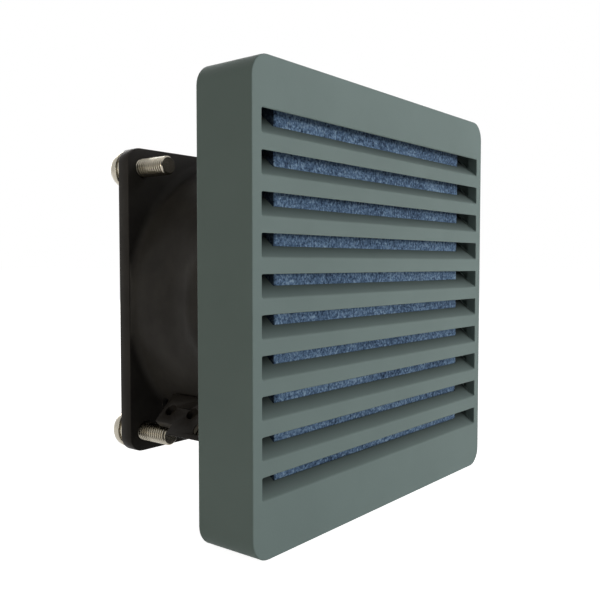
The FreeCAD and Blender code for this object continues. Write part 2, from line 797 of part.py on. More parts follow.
def blade_section(level, sweep):
    """A cambered section in the plane z = level, leading edge forward and to one side."""
    start = Vector(-sweep / 2, size("blade_front"), level)
    end = Vector(sweep / 2, size("blade_rear"), level)
    chord = (end - start).normalize()
    across = Vector(-chord.y, chord.x, 0)
    middle = (start + end) * 0.5 + across * size("blade_camber")
    skin = across * (size("blade_thickness") / 2)
    edge = across * (size("blade_edge") / 2)
    return Part.Wire([
        Part.Arc(start + edge, middle + skin, end + edge).toShape(),
        Part.LineSegment(end + edge, end - edge).toShape(),
        Part.Arc(end - edge, middle - skin, start - edge).toShape(),
        Part.LineSegment(start - edge, start + edge).toShape(),
    ])


def impeller_shape(hub):
    """The hub with its ring of twisted blades, trimmed to the tip circle."""
    root = size("hub_radius")
    tip = size("tip_radius")
    sections = [blade_section(root - size("blade_root_depth"), size("blade_root_sweep")),
                blade_section(tip + size("past"), size("blade_tip_sweep"))]
    loft = Part.makeLoft(sections, True, True)
    depth = size("fan_depth")
    along = Vector(0, 1, 0)
    swept = Part.makeCylinder(tip, depth, Vector(), along)
    core = Part.makeCylinder((root + size("cup_radius")) / 2, depth, Vector(), along)
    blade = loft.common(swept.cut(core))
    count = round(size("blade_count"))
    blades = [blade.rotated(Vector(), along, 360 * index / count) for index in range(count)]
    return hub.multiFuse(blades).removeSplitter()


# Terminal block: a moulded block in the corner, its sloping face with three entries.
def make_terminals():
    body = profiled("block_body", "XZ_Plane", [
        ("-(block_inner + block_offset) / sqrt(2)", "(block_offset - block_inner) / sqrt(2)"),
        ("-fan_width / 2", "block_offset * sqrt(2) - fan_width / 2"),
        ("-fan_width / 2", "-block_floor"),
        ("-duct_radius / 2", "-block_floor"),
        ("-duct_radius / 2", "(block_offset - block_inner) / sqrt(2)"),
    ], "block_front", "block_rear - block_front")
    span = ("block_front - past", "block_rear - block_front + 2 * past")
    barrel = rod("block_seat", "barrel_radius", span)
    cone = taper("block_flare_seat", "flare_front_radius", "barrel_radius",
                 ("fan_standoff", "fan_flange + flare_length"))
    notch_block = block("block_notch", ("block_notch_reach", "barrel_radius"),
                        ("block_notch_place", "fan_depth"), ("-barrel_radius / 2", "barrel_radius"))
    notch = spun(notch_block, LEAD_ANGLE)
    groove = rod("block_groove", "thread_radius + block_groove_play",
                 ("block_notch_place", "fan_depth"), "-screw_half", "-screw_half")
    entries = [("entry_reach", "entry_rear_place", "entry_depth"),
               ("entry_reach", "entry_rear_place - entry_pitch", "entry_depth"),
               ("earth_reach", "earth_place", "earth_depth")]
    holes = []
    inserts = []
    screws = []
    for index, (reach, place, depth) in enumerate(entries):
        holes.append(entry_rod(f"entry{index}", reach, place, "entry_radius", "-past", f"{depth} + past"))
        inserts.append(entry_rod(f"insert{index}", reach, place, "entry_radius",
                                 f"{depth} - insert_depth", "insert_depth"))
        top = f"({depth} - insert_depth - terminal_screw_depth)"
        disc = entry_rod(f"terminal_head{index}", reach, place, "terminal_screw_radius",
                         top, "terminal_screw_depth")
        slot = spun(block(f"terminal_slot{index}",
                          (f"{reach} - terminal_screw_radius", "2 * terminal_screw_radius"),
                          (f"{place} - terminal_slot_width / 2", "terminal_slot_width"),
                          (f"{top} - block_offset - past", "past + terminal_slot_depth")), LEAD_ANGLE)
        screws.append(cut(f"terminal_screw{index}", disc, [slot]))
    named(cut("terminal_block", body, [barrel, cone, notch, groove] + holes))
    named(group("terminal_inserts", inserts))
    named(group("terminal_screws", screws))


def entry_rod(name, reach, place, radius, below, length):
    """A cylinder square to the block's sloping face, from a depth below it and for a length."""
    item = bind(new("Part::Cylinder", name), Radius=radius, Height=length)
    at(item, reach, place, f"({below}) - block_offset")
    return spun(item, LEAD_ANGLE)


# Leads: two wires from the block's rear, through the barrel and along a strut to the coil.
def make_leads():
    tubes = []
    for side in (-1, 1):
        offset = side * size("lead_pitch") / 2
        reach = size("lead_reach")
        inner = size("lead_end_reach")
        plane = size("lead_plane")
        corners = [Vector(reach, size("block_rear"), offset), Vector(reach, plane, offset),
                   Vector(inner, plane, offset), Vector(inner, size("coil_rear"), offset)]
        tubes.append(tube_along(corners, size("lead_radius")))
    leads = new("Part::Feature", "motor_leads")
    leads.Shape = Part.makeCompound(tubes)
    leads.Placement = FreeCAD.Placement(Vector(), FreeCAD.Rotation(Vector(0, 1, 0), LEAD_ANGLE))
    named(leads)


def tube_along(corners, radius):
    """A round tube along straight runs joined by tangent arcs."""
    edges = []
    start = corners[0]
    for before, corner, after in zip(corners, corners[1:], corners[2:]):
        back = (before - corner).normalize()
        ahead = (after - corner).normalize()
        half_turn = (math.pi - back.getAngle(ahead)) / 2
        shorter = min((before - corner).Length, (after - corner).Length)
        trim = 0.45 * shorter
        bend = trim / math.tan(half_turn)
        enter = corner + back * trim
        leave = corner + ahead * trim
        inward = (back + ahead).normalize()
        centre = corner + inward * (bend / math.cos(half_turn))
        edges.append(Part.LineSegment(start, enter).toShape())
        edges.append(Part.Arc(enter, centre - inward * bend, leave).toShape())
        start = leave
        print("lead bend radius", round(bend, 2))
    edges.append(Part.LineSegment(start, corners[-1]).toShape())
    path = Part.Wire(edges)
    ring = Part.Wire(Part.makeCircle(radius, corners[0], corners[1] - corners[0]))
    tube = path.makePipeShell([ring], True, False)
    expected = math.pi * radius ** 2 * path.Length
    print("lead tube volume against section times length", round(tube.Volume / expected, 4))
    return tube


# Screws, washers and nuts at the four corners.
def make_fasteners():
    rear_seat = "(fan_rear + washer_thickness)"
    rear = []
    front = []
    washers = []
    nuts = []
    hexagon_outline = [(f"nut_radius * cos({angle})", f"nut_radius * sin({angle})")
                       for angle in range(0, 360, 60)]
    for index, (side, level) in enumerate(CORNERS):
        x = f"{side} * screw_half"
        z = f"{level} * screw_half"
        rear.append(screw(f"rear_screw{index}", x, z, rear_seat, "rear_screw_length", ""))
        front.append(screw(f"front_screw{index}", x, z, "back_wall_front", "front_screw_length", "-"))
        ring = turned(f"washer_ring{index}", ring_outline(
            "thread_radius", "washer_radius", "fan_rear", rear_seat), x, z)
        slit = block(f"washer_slit{index}", (f"{x} - slit_width / 2", "slit_width"),
                     ("fan_rear - past", "washer_thickness + 2 * past"), (z, "washer_radius + past"))
        washers.append(cut(f"washer{index}", ring, [slit]))
        hexagon = profiled(f"nut_hexagon{index}", "XZ_Plane", hexagon_outline,
                           "fan_standoff + fan_flange", "nut_thickness")
        at(hexagon, x, "0", z)
        bore = rod(f"nut_bore{index}", "thread_radius",
                   ("fan_standoff", "nut_thickness + 2 * fan_flange"), x, z)
        nuts.append(cut(f"nut{index}", hexagon, [bore]))
    named(group("rear_screws", rear))
    named(group("lock_washers", washers))
    named(group("front_screws", front))
    named(group("flange_nuts", nuts))


def screw(name, x, z, seat, length, away):
    """A pan-head screw with a cross recess. Its head lies beyond the seat, to +Y, or to -Y with a minus."""
    def beyond(distance):
        return f"{seat} + ({away}1) * ({distance})"
    body = turned(name + "_body", [
        ("0", beyond(f"-({length})")),
        ("thread_radius - thread_chamfer", beyond(f"-({length})")),
        ("thread_radius", beyond(f"thread_chamfer - ({length})")),
        ("thread_radius", beyond("0")),
        ("head_radius", beyond("0")),
        ("head_radius", beyond("head_rim")),
        ("head_radius - head_shoulder", beyond("head_height - head_crown")),
        ("head_flat", beyond("head_height")),
        ("0", beyond("head_height")),
    ], x, z)
    low = beyond("head_height + past") if away else beyond("head_height - recess_depth")
    bars = []
    for label, wide, tall in (("wide", "head_radius", "recess_width"),
                              ("tall", "recess_width", "head_radius")):
        bars.append(block(f"{name}_{label}", (f"{x} - {wide} / 2", wide), (low, "recess_depth + past"),
                          (f"{z} - {tall} / 2", tall)))
    return cut(name, body, bars)


make_cover()
make_filter()
make_gasket()
make_base_frame()
make_finger_guard()
make_filter_grid()
make_pawls()
make_housing()
make_spider()
make_bearings()
make_stator()
make_rotor()
make_terminals()
make_leads()
make_fasteners()
doc.recompute()

for item in doc.Objects:
    if "Invalid" in item.State or "Error" in item.State:
        raise RuntimeError(f"{item.Name} did not build: {item.State}")
os.makedirs("parts", exist_ok=True)
for item in NODES:
    shape = item.Shape
    if shape.isNull() or not shape.isValid() or not shape.Solids:
        raise RuntimeError(f"{item.Label} has no valid solid")
    shape.exportStep(f"parts/{item.Label}.step")
    box = shape.BoundBox
    print(f"{item.Label}: {len(shape.Solids)} solids, {shape.Volume:.1f} mm3, "
          f"x {box.XMin:.1f} {box.XMax:.1f}, y {box.YMin:.1f} {box.YMax:.1f}, "
          f"z {box.ZMin:.1f} {box.ZMax:.1f}")
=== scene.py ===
# %% [markdown]
# A cabinet filter fan: a grey-green louvred cover over a blue filter mat, and a black axial fan
# behind the cabinet's panel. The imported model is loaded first, as a fixed frame in metres. The
# pieces that the eye dwells on are then rebuilt with the fine detail of the real ones, such as
# rounded edges, screw threads and fibres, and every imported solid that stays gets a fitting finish.

# %% Load the frame
import math

import bmesh
import bpy
from mathutils import Euler, Matrix, Vector
from mathutils import noise as field


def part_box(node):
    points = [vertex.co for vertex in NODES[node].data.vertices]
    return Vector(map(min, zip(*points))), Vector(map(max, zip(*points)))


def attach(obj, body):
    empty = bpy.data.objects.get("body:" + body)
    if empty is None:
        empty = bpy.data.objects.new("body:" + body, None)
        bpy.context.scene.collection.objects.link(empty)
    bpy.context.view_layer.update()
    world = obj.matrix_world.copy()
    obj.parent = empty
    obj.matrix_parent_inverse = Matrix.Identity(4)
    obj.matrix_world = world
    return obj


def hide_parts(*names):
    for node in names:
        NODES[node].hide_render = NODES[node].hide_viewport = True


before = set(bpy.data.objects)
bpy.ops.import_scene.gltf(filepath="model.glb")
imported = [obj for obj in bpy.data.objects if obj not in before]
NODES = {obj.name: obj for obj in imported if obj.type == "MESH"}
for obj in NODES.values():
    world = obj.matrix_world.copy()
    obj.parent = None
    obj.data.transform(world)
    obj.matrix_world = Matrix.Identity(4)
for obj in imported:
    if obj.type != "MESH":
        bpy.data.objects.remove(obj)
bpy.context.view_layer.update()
MM = 0.001

# %% [markdown]
# The camera comes first, because it says which faces will be seen. Its place was worked out from the
# cover's edges in the photograph: it stands in front of the cover and well to its left, almost
# level with the middle, and close enough for the far edge to look clearly shorter.

# %% Camera at the photograph's viewpoint
EYE = Vector((-165.03, -117.98, 9.63)) * MM
YAW = math.radians(51.44)
PITCH = math.radians(2.72)


def placed(name, data):
    """A new object in the scene."""
    made = bpy.data.objects.new(name, data)
    bpy.context.scene.collection.objects.link(made)
    return made


camera_data = bpy.data.cameras.new("photo_camera")
camera_data.sensor_width = 36
camera_data.lens = 45.12
camera = placed("photo_camera", camera_data)
camera.location = EYE
camera.rotation_euler = Euler((math.pi / 2 - PITCH, 0, -YAW), "XYZ")
bpy.context.scene.camera = camera
print("camera", round(EYE.length, 3), "m from the fan's axis")

# %% [markdown]
# Node trees are long to write by hand, so this small helper shortens them. Each call makes one node:
# plain values go to its sockets, and another node's output is linked. It serves for materials and
# for geometry alike.

# %% A helper for node trees
class Tree:
    """Builds a node tree: add(kind, {setting: value}, Input_Name=value or output) gives the node."""

    def __init__(self, nodes):
        self.tree = nodes

    def add(self, kind, settings=None, **inputs):
        node = self.tree.nodes.new(kind)
        for name, value in (settings or {}).items():
            setattr(node, name, value)
        for name, value in inputs.items():
            self.feed(node, name.replace("_", " "), value)
        return node

    def out(self, kind, settings=None, **inputs):
        """A new node's first output."""
        return self.add(kind, settings, **inputs).outputs[0]

    def feed(self, node, name, value):
        socket = node.inputs[int(name) if name.isdigit() else name]
        if isinstance(value, bpy.types.NodeSocket):
            self.tree.links.new(value, socket)
        else:
            socket.default_value = value

    def maths(self, operation, first, second=0.0):
        """One sum, difference, product and so on, of two values or outputs."""
        node = self.add("ShaderNodeMath", {"operation": operation})
        self.feed(node, "0", first)
        self.feed(node, "1", second)
        return node.outputs[0]

    def plus(self, first, second):
        return self.maths("ADD", first, second)

    def minus(self, first, second):
        return self.maths("SUBTRACT", first, second)

    def scaled(self, value, factor):
        return self.maths("MULTIPLY", value, factor)

    def vector(self, **parts):
        return self.out("ShaderNodeCombineXYZ", **parts)

    def part(self, vector, axis):
        return self.add("ShaderNodeSeparateXYZ", Vector=vector).outputs[axis]


def colour(red, green, blue):
    """Screen values from 0 to 255, as linear light."""
    def linear(value):
        value /= 255
        return value / 12.92 if value <= 0.04045 else ((value + 0.055) / 1.055) ** 2.4
    return (linear(red), linear(green), linear(blue), 1)


def shaded(shade, factor):
    """A colour made darker or lighter."""
    return tuple(min(1, part * factor) for part in shade[:3]) + (1,)


# %% Helpers for material trees
def cleared(owner):
    """The emptied node tree of a material or world."""
    owner.use_nodes = True
    owner.node_tree.nodes.clear()
    return Tree(owner.node_tree)


def new_material(name):
    """A material with a cleared tree, its shader and its Object coordinates."""
    material = bpy.data.materials.new(name)
    tree = cleared(material)
    shader = tree.add("ShaderNodeBsdfPrincipled")
    tree.add("ShaderNodeOutputMaterial", Surface=shader.outputs["BSDF"])
    place = tree.add("ShaderNodeTexCoord").outputs["Object"]
    return material, tree, shader, place


def ramp(tree, factor, stops):
    """A colour ramp through (position, colour) stops."""
    node = tree.add("ShaderNodeValToRGB", Fac=factor)
    elements = node.color_ramp.elements
    while len(elements) < len(stops):
        elements.new(0.5)
    for element, (position, shade) in zip(elements, stops):
        element.position = position
        element.color = shade
    return node.outputs["Color"]


def spread(tree, factor, low, high):
    """Maps a value of 0 to 1 to a range."""
    return tree.add("ShaderNodeMapRange", Value=factor, To_Min=low, To_Max=high).outputs["Result"]


def noise(tree, place, scale, detail, rough=0.5, warp=0.0):
    node = tree.add("ShaderNodeTexNoise", Vector=place, Scale=scale, Detail=detail,
                    Roughness=rough, Distortion=warp)
    return node.outputs["Fac"]


def bump(tree, height, distance, strength=1.0, normal=None):
    node = tree.add("ShaderNodeBump", Height=height, Distance=distance, Strength=strength)
    if normal is not None:
        tree.feed(node, "Normal", normal)
    return node.outputs["Normal"]


# %% [markdown]
# Moulded plastic is matt and evenly coloured, but never flat: the mould's eroded texture breaks up
# the light, the colour is very slightly cloudy, and the gloss changes from place to place. Three
# noises at three sizes do this. Roughness could also be painted by hand, but noise on Object
# coordinates keeps its true size on every part and stays put when the part moves.

# %% Moulded plastic
GRAIN = 0.02 * MM
CLOUD = 0.05


def moulded_plastic(name, shade, rough, specular=0.3):
    material, tree, shader, place = new_material(name)
    patches = noise(tree, place, 35, 3)
    tints = [(0.3, shaded(shade, 1 - CLOUD)), (0.7, shaded(shade, 1 + CLOUD))]
    tree.feed(shader, "Base Color", ramp(tree, patches, tints))
    tree.feed(shader, "Roughness", spread(tree, noise(tree, place, 180, 2), rough - 0.05, rough + 0.05))
    tree.feed(shader, "Normal", bump(tree, noise(tree, place, 2400, 2), GRAIN))
    tree.feed(shader, "Specular IOR Level", specular)
    return material


cover_plastic = moulded_plastic("cover_plastic", colour(108, 123, 120), 0.6, 0.15)
frame_plastic = moulded_plastic("frame_plastic", colour(46, 47, 46), 0.5, 0.2)
pawl_plastic = moulded_plastic("pawl_plastic", colour(52, 54, 53), 0.42)
cap_plastic = moulded_plastic("cap_plastic", colour(30, 30, 30), 0.45)
terminal_plastic = moulded_plastic("terminal_plastic", colour(44, 41, 38), 0.42, 0.1)
impeller_plastic = moulded_plastic("impeller_plastic", colour(31, 31, 32), 0.38, 0.25)
bobbin_nylon = moulded_plastic("bobbin_nylon", colour(214, 208, 188), 0.5)
lead_insulation = moulded_plastic("lead_insulation", colour(24, 24, 25), 0.35)
print("plastics:", cover_plastic.name, frame_plastic.name, terminal_plastic.name)

# %% [markdown]
# Deep between the slats the cover is darkened by painted shade. Its colour is multiplied by a ramp
# that runs along Y from the front, and only between the ends of the slots: the end walls and the
# outer sides of the cover lie beyond the mask and keep their colour.

# %% Painted shade deep between the slats
FIELD_HALF = 49.35 * MM
PAINTED_SHADE_FROM, PAINTED_SHADE_TO = -16 * MM, -10 * MM
PAINTED_SHADE_STOPS = [(0.0, 1.0), (0.06, 0.8), (0.5, 0.32), (0.85, 0.05)]


# Painted shade: the cover's colour grows darker the deeper it lies in the slots.
def painted_slot_shade(material):
    tree = Tree(material.node_tree)
    shader = next(node for node in tree.tree.nodes if node.type == "BSDF_PRINCIPLED")
    unshaded_colour = shader.inputs["Base Color"].links[0].from_socket
    place = tree.add("ShaderNodeTexCoord").outputs["Object"]
    deep = tree.out("ShaderNodeMapRange", Value=tree.part(place, "Y"), From_Min=PAINTED_SHADE_FROM, From_Max=PAINTED_SHADE_TO)
    slot_shade = ramp(tree, deep, [(stop, (value, value, value, 1)) for stop, value in PAINTED_SHADE_STOPS])
    across, upright = (tree.maths("LESS_THAN", tree.maths("ABSOLUTE", tree.part(place, axis)), FIELD_HALF)
                       for axis in "XZ")
    mixed = tree.add("ShaderNodeMix", {"data_type": "RGBA", "blend_type": "MULTIPLY"})
    for socket, value in (("0", tree.scaled(across, upright)), ("6", unshaded_colour), ("7", slot_shade)):
        tree.feed(mixed, socket, value)
    tree.feed(shader, "Base Color", mixed.outputs[2])


painted_slot_shade(cover_plastic)
print("dust on", cover_plastic.name)

# %% [markdown]
# The fan is die-cast aluminium under satin black paint. The casting's skin shows through the paint
# as a soft orange peel over slow, shallow waves, and the paint is glossier where it lies thick. The
# specular level is low, because paint this dark would otherwise turn grey in a white room.

# %% Satin black paint on a casting
def painted_casting(name, shade, rough):
    material, tree, shader, place = new_material(name)
    peel = noise(tree, place, 620, 2, 0.4)
    skin = noise(tree, place, 90, 4)
    waves = bump(tree, skin, 0.08 * MM, 0.5)
    tree.feed(shader, "Normal", bump(tree, peel, 0.025 * MM, 0.8, waves))
    tints = [(0.35, shaded(shade, 0.8)), (0.7, shaded(shade, 1.25))]
    tree.feed(shader, "Base Color", ramp(tree, skin, tints))
    tree.feed(shader, "Roughness", spread(tree, noise(tree, place, 60, 3), rough - 0.05, rough + 0.08))
    tree.feed(shader, "Specular IOR Level", 0.04)
    return material


black_casting = painted_casting("black_casting", colour(60, 58, 56), 0.4)
print("paint:", black_casting.name)

# %% [markdown]
# Turned, ground and drawn metal carries fine lines from the tool. A noise that is squeezed along
# one direction gives the lines, and it also drives the roughness a little, which is what makes
# metal glint unevenly. The nickel of the screws is warm and slightly dulled.

# %% Metals
DULL = 0.8


def metal(name, shade, rough, stretch=(1, 30, 1), scale=400, relief=0.008):
    material, tree, shader, place = new_material(name)
    lines = noise(tree, tree.out("ShaderNodeMapping", Vector=place, Scale=stretch), scale, 3)
    tree.feed(shader, "Base Color", ramp(tree, lines, [(0.3, shaded(shade, DULL)), (0.7, shade)]))
    tree.feed(shader, "Roughness", spread(tree, lines, rough - 0.06, rough + 0.08))
    tree.feed(shader, "Normal", bump(tree, lines, relief * MM, 0.6))
    tree.feed(shader, "Metallic", 1.0)
    return material


screw_steel = metal("screw_steel", colour(176, 170, 156), 0.22, relief=0.0)
# The terminal contacts get a dark colour: painted shade for the holes of the block they sit in.
shaded_contact_metal = metal("shaded_contact_metal", colour(58, 54, 46), 0.5)
nut_steel = metal("nut_steel", colour(176, 170, 156), 0.45, relief=0.002)
spring_steel = metal("spring_steel", colour(196, 191, 178), 0.2, relief=0.002)
bearing_steel = metal("bearing_steel", colour(205, 206, 208), 0.22)
cup_steel = metal("cup_steel", colour(150, 151, 153), 0.38)
cage_aluminium = metal("cage_aluminium", colour(200, 202, 205), 0.4)
lamination_steel = metal("lamination_steel", colour(120, 121, 125), 0.45, (1, 12, 1), 300)
brass = metal("brass", colour(148, 118, 66), 0.34)
copper_winding = metal("copper_winding", colour(184, 105, 60), 0.32, (1, 6, 1), 900)
print("metals:", screw_steel.name, bearing_steel.name, brass.name)

# %% [markdown]
# The filter mat is non-woven polyester: fibres in every direction, slate blue with dark gaps
# between them and pale tips where the light catches. Two noises at the size of the fibre clumps
# give the speckle, and a slow one the thin and thick places. The same pattern lifts the surface.
# The two cut sides are darkened with painted shade.

# %% Filter fibre
CUT_EDGE = 42.35 * MM
CUT_MIDDLE = 0.5 * MM
PAINTED_SIDE_BLEND = 0.12 * MM
PAINTED_SIDE_SHADE = 0.22


def filter_fibre():
    material, tree, shader, place = new_material("filter_fibre")
    speck = noise(tree, place, 1500, 3.0, 0.65)
    wisps = noise(tree, place, 600, 4.0, 0.6, 1.5)
    slow = noise(tree, place, 60, 2)
    mixed = tree.plus(tree.scaled(speck, 0.55), tree.scaled(wisps, 0.3))
    mixed = tree.plus(mixed, tree.scaled(slow, 0.15))
    tints = [(0.40, colour(42, 58, 80)), (0.475, colour(73, 96, 124)), (0.535, colour(98, 124, 152)),
             (0.62, colour(140, 164, 186))]
    # Painted shade: the colour drops towards the mat's two cut sides.
    aside = tree.maths("ABSOLUTE", tree.minus(tree.part(place, "X"), CUT_MIDDLE))
    lit = tree.out("ShaderNodeMapRange", Value=tree.minus(aside, CUT_EDGE), From_Min=0.0,
                   From_Max=PAINTED_SIDE_BLEND, To_Min=1.0, To_Max=PAINTED_SIDE_SHADE)
    tree.feed(shader, "Base Color", tree.out("ShaderNodeVectorMath", {"operation": "SCALE"},
                                             Vector=ramp(tree, mixed, tints), Scale=lit))
    tree.feed(shader, "Roughness", 0.9)
    tree.feed(shader, "Specular IOR Level", 0.15)
    tree.feed(shader, "Sheen Weight", 0.1)
    tree.feed(shader, "Normal", bump(tree, mixed, 0.35 * MM, 0.8))
    return material


fibre_blue = filter_fibre()
print("fibre:", fibre_blue.name)

# %% [markdown]
# The gasket is closed-cell foam: nearly black, dull, with a skin of small pits. A cell pattern
# gives both the pits and the paler walls between them.

# %% Gasket foam
def foam():
    material, tree, shader, place = new_material("gasket_foam")
    distance = tree.add("ShaderNodeTexVoronoi", Vector=place, Scale=2200).outputs["Distance"]
    tints = [(0.1, colour(22, 22, 22)), (0.6, colour(48, 48, 47))]
    tree.feed(shader, "Base Color", ramp(tree, distance, tints))
    tree.feed(shader, "Roughness", 0.85)
    tree.feed(shader, "Normal", bump(tree, distance, 0.15 * MM, 0.7))
    return material


gasket_foam = foam()
print("foam:", gasket_foam.name)

# %% [markdown]
# Geometry Nodes will make the pieces that follow a rule. A tree gets named inputs for its sizes, and
# the rule, a short function, fills it. The modifier's values are set by each socket's identifier
# before the first evaluation, and the result is then frozen to a plain mesh, so that it exports and
# moves like any other piece.

# %% Helpers for geometry trees
KINDS = {float: "NodeSocketFloat", int: "NodeSocketInt"}


def geometry_tree(name, sizes, has_base):
    """A tree with named number inputs and a material. Gives the tree and its inputs as outputs by name."""
    nodes = bpy.data.node_groups.new(name, "GeometryNodeTree")
    nodes.interface.new_socket("Geometry", in_out="OUTPUT", socket_type="NodeSocketGeometry")
    if has_base:
        nodes.interface.new_socket("Base", in_out="INPUT", socket_type="NodeSocketGeometry")
    for title, value in sizes.items():
        nodes.interface.new_socket(title, in_out="INPUT", socket_type=KINDS[type(value)])
    nodes.interface.new_socket("Finish", in_out="INPUT", socket_type="NodeSocketMaterial")
    tree = Tree(nodes)
    given = {socket.name: socket for socket in tree.add("NodeGroupInput").outputs if socket.name}
    return tree, given


def close_tree(tree, geometry, given):
    """Every tree ends the same way: real meshes, one material."""
    real = tree.out("GeometryNodeRealizeInstances", Geometry=geometry)
    finished = tree.out("GeometryNodeSetMaterial", Geometry=real, Material=given["Finish"])
    tree.tree.links.new(finished, tree.add("NodeGroupOutput").inputs[0])


def copies(tree, points, piece, **more):
    return tree.out("GeometryNodeInstanceOnPoints", Points=points, Instance=piece, **more)


def upright_grid(tree, across, tall, rows=2, **shift):
    """The points of a grid that faces along Y: two columns, and as many rows as given."""
    grid = tree.out("GeometryNodeMeshGrid", Size_X=across, Size_Y=tall, Vertices_X=2, Vertices_Y=rows)
    return tree.out("GeometryNodeTransform", Geometry=grid, Rotation=(math.pi / 2, 0, 0),
                    Translation=tree.vector(**shift))


def frozen(piece):
    """Turns the evaluated piece into a plain mesh with no modifiers."""
    graph = bpy.context.evaluated_depsgraph_get()
    mesh = bpy.data.meshes.new_from_object(piece.evaluated_get(graph))
    piece.modifiers.clear()
    piece.data = mesh
    return piece


def grown(name, rule, sizes, finish, base=None):
    """A piece made by a rule from the given sizes, frozen to a mesh. It uses up its base piece."""
    tree, given = geometry_tree(name, sizes, base is not None)
    close_tree(tree, rule(tree, given), given)
    piece = placed(name, base.data if base else bpy.data.meshes.new(name))
    modifier = piece.modifiers.new("Rule", "NODES")
    modifier.node_group = tree.tree
    for item in tree.tree.interface.items_tree:
        if item.in_out == "INPUT" and item.name in sizes:
            modifier[item.identifier] = sizes[item.name]
        elif item.in_out == "INPUT" and item.name == "Finish":
            modifier[item.identifier] = finish
    frozen(piece)
    if base:
        bpy.data.objects.remove(base)
    print(name, len(piece.data.polygons), "faces")
    return piece


def piece_of(name, shape, materials):
    """A piece from a bmesh, which it uses up."""
    mesh = bpy.data.meshes.new(name)
    for material in materials:
        mesh.materials.append(material)
    shape.to_mesh(mesh)
    shape.free()
    return placed(name, mesh)


def plain(name, shape, finish):
    """A piece from a bmesh, with its doubled points merged and its faces turned outwards."""
    bmesh.ops.remove_doubles(shape, verts=shape.verts, dist=1e-7)
    bmesh.ops.dissolve_degenerate(shape, edges=shape.edges, dist=1e-7)
    bmesh.ops.recalc_face_normals(shape, faces=shape.faces)
    print(name, len(shape.faces), "faces")
    return piece_of(name, shape, [finish])


# %% Helpers that finish a piece
def smoothed(piece, limit):
    """Smooth shading, but sharp across edges that turn by more than the limit."""
    for face in piece.data.polygons:
        face.use_smooth = True
    piece.data.set_sharp_from_angle(angle=math.radians(limit))
    return piece


def bevelled(piece, width, segments, method):
    """Smooth shading and a modifier that rounds edges, for the caller to finish and freeze."""
    for face in piece.data.polygons:
        face.use_smooth = True
    bevel = piece.modifiers.new("Rounded edges", "BEVEL")
    bevel.width = width
    bevel.segments = segments
    bevel.limit_method = method
    bevel.harden_normals = True
    return bevel


def edge_rounded(piece, width, segments=2):
    """Rounds every edge that turns sharply, and freezes the result."""
    bevel = bevelled(piece, width, segments, "ANGLE")
    bevel.angle_limit = math.radians(32)
    bevel.miter_outer = "MITER_ARC"
    return frozen(piece)


def joined(name, pieces):
    """Several closed shells as one piece."""
    shape = bmesh.new()
    for piece in pieces:
        shape.from_mesh(piece.data)
    whole = piece_of(name, shape, pieces[0].data.materials)
    for piece in pieces:
        bpy.data.objects.remove(piece)
    return whole


def mounted(piece, body, slot, *nodes):
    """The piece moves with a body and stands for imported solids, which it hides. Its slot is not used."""
    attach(piece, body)
    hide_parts(*nodes)


def dressed(finish, *nodes):
    """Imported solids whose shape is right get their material."""
    for node in nodes:
        NODES[node].data.materials.clear()
        NODES[node].data.materials.append(finish)


# %% [markdown]
# The cover is the piece that everyone sees: a shallow square cap with ten slots that slope upwards
# as they go in, so that no finger and no drip finds a straight way through. It could be modelled
# face by face, but its shape is a rule, so a geometry tree cuts it: a rounded prism, less a hollow,
# less a row of sheared boxes. Four flat arms behind the face clip round the frame.

# %% The rule that cuts the cover
COVER_LOW, COVER_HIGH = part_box("cover")
COVER = {
    "Width": COVER_HIGH.x - COVER_LOW.x, "Depth": COVER_HIGH.y - COVER_LOW.y,
    "Wall": 2 * MM, "Face": 3 * MM, "Corner": 5 * MM,
    "Slots": 10, "Slot Length": 99 * MM, "Slot Height": 4.9 * MM, "Slot Pitch": 8.46 * MM,
    "Slot Slope": 2.6 / 3, "Field Shift": 0.8 * MM,
    "Arm Width": 12 * MM, "Arm Shift": 25 * MM, "Arm Wall": 1.2 * MM, "Arm Level": 45.6 * MM,
    "Arm End": 5 * MM, "Rib Width": 8.1 * MM, "Rib Depth": 3.4 * MM,
}


def rounded_prism(tree, width, corner, start, end):
    """A square bar with round corners, along Y between two places."""
    outline = tree.out("GeometryNodeCurvePrimitiveQuadrilateral", Width=width, Height=width)
    fillet = tree.out("GeometryNodeFilletCurve", {"mode": "POLY"}, Curve=outline, Count=8, Radius=corner)
    line = tree.out("GeometryNodeCurvePrimitiveLine", Start=tree.vector(Y=start), End=tree.vector(Y=end))
    return tree.out("GeometryNodeCurveToMesh", Curve=line, Profile_Curve=fillet, Fill_Caps=True)


def box(tree, width, depth, height):
    return tree.out("GeometryNodeMeshCube", Size=tree.vector(X=width, Y=depth, Z=height))


def cut_from(tree, solid, *tools):
    node = tree.add("GeometryNodeMeshBoolean", {"operation": "DIFFERENCE", "solver": "EXACT"})
    tree.tree.links.new(solid, node.inputs["Mesh 1"])
    for tool in tools:
        tree.tree.links.new(tool, node.inputs["Mesh 2"])
    return node.outputs[0]


def sheared(tree, pieces, front, slope):
    """Makes copies real and lifts them the more, the further they lie behind the cover's front."""
    real = tree.out("GeometryNodeRealizeInstances", Geometry=pieces)
    depth = tree.minus(tree.part(tree.out("GeometryNodeInputPosition"), "Y"), front)
    lift = tree.vector(Z=tree.scaled(depth, slope))
    return tree.out("GeometryNodeSetPosition", Geometry=real, Offset=lift)


def face_levels(tree, given):
    """The places along Y of the face's front and back."""
    front = tree.scaled(given["Depth"], -1.0)
    return front, tree.plus(front, given["Face"])


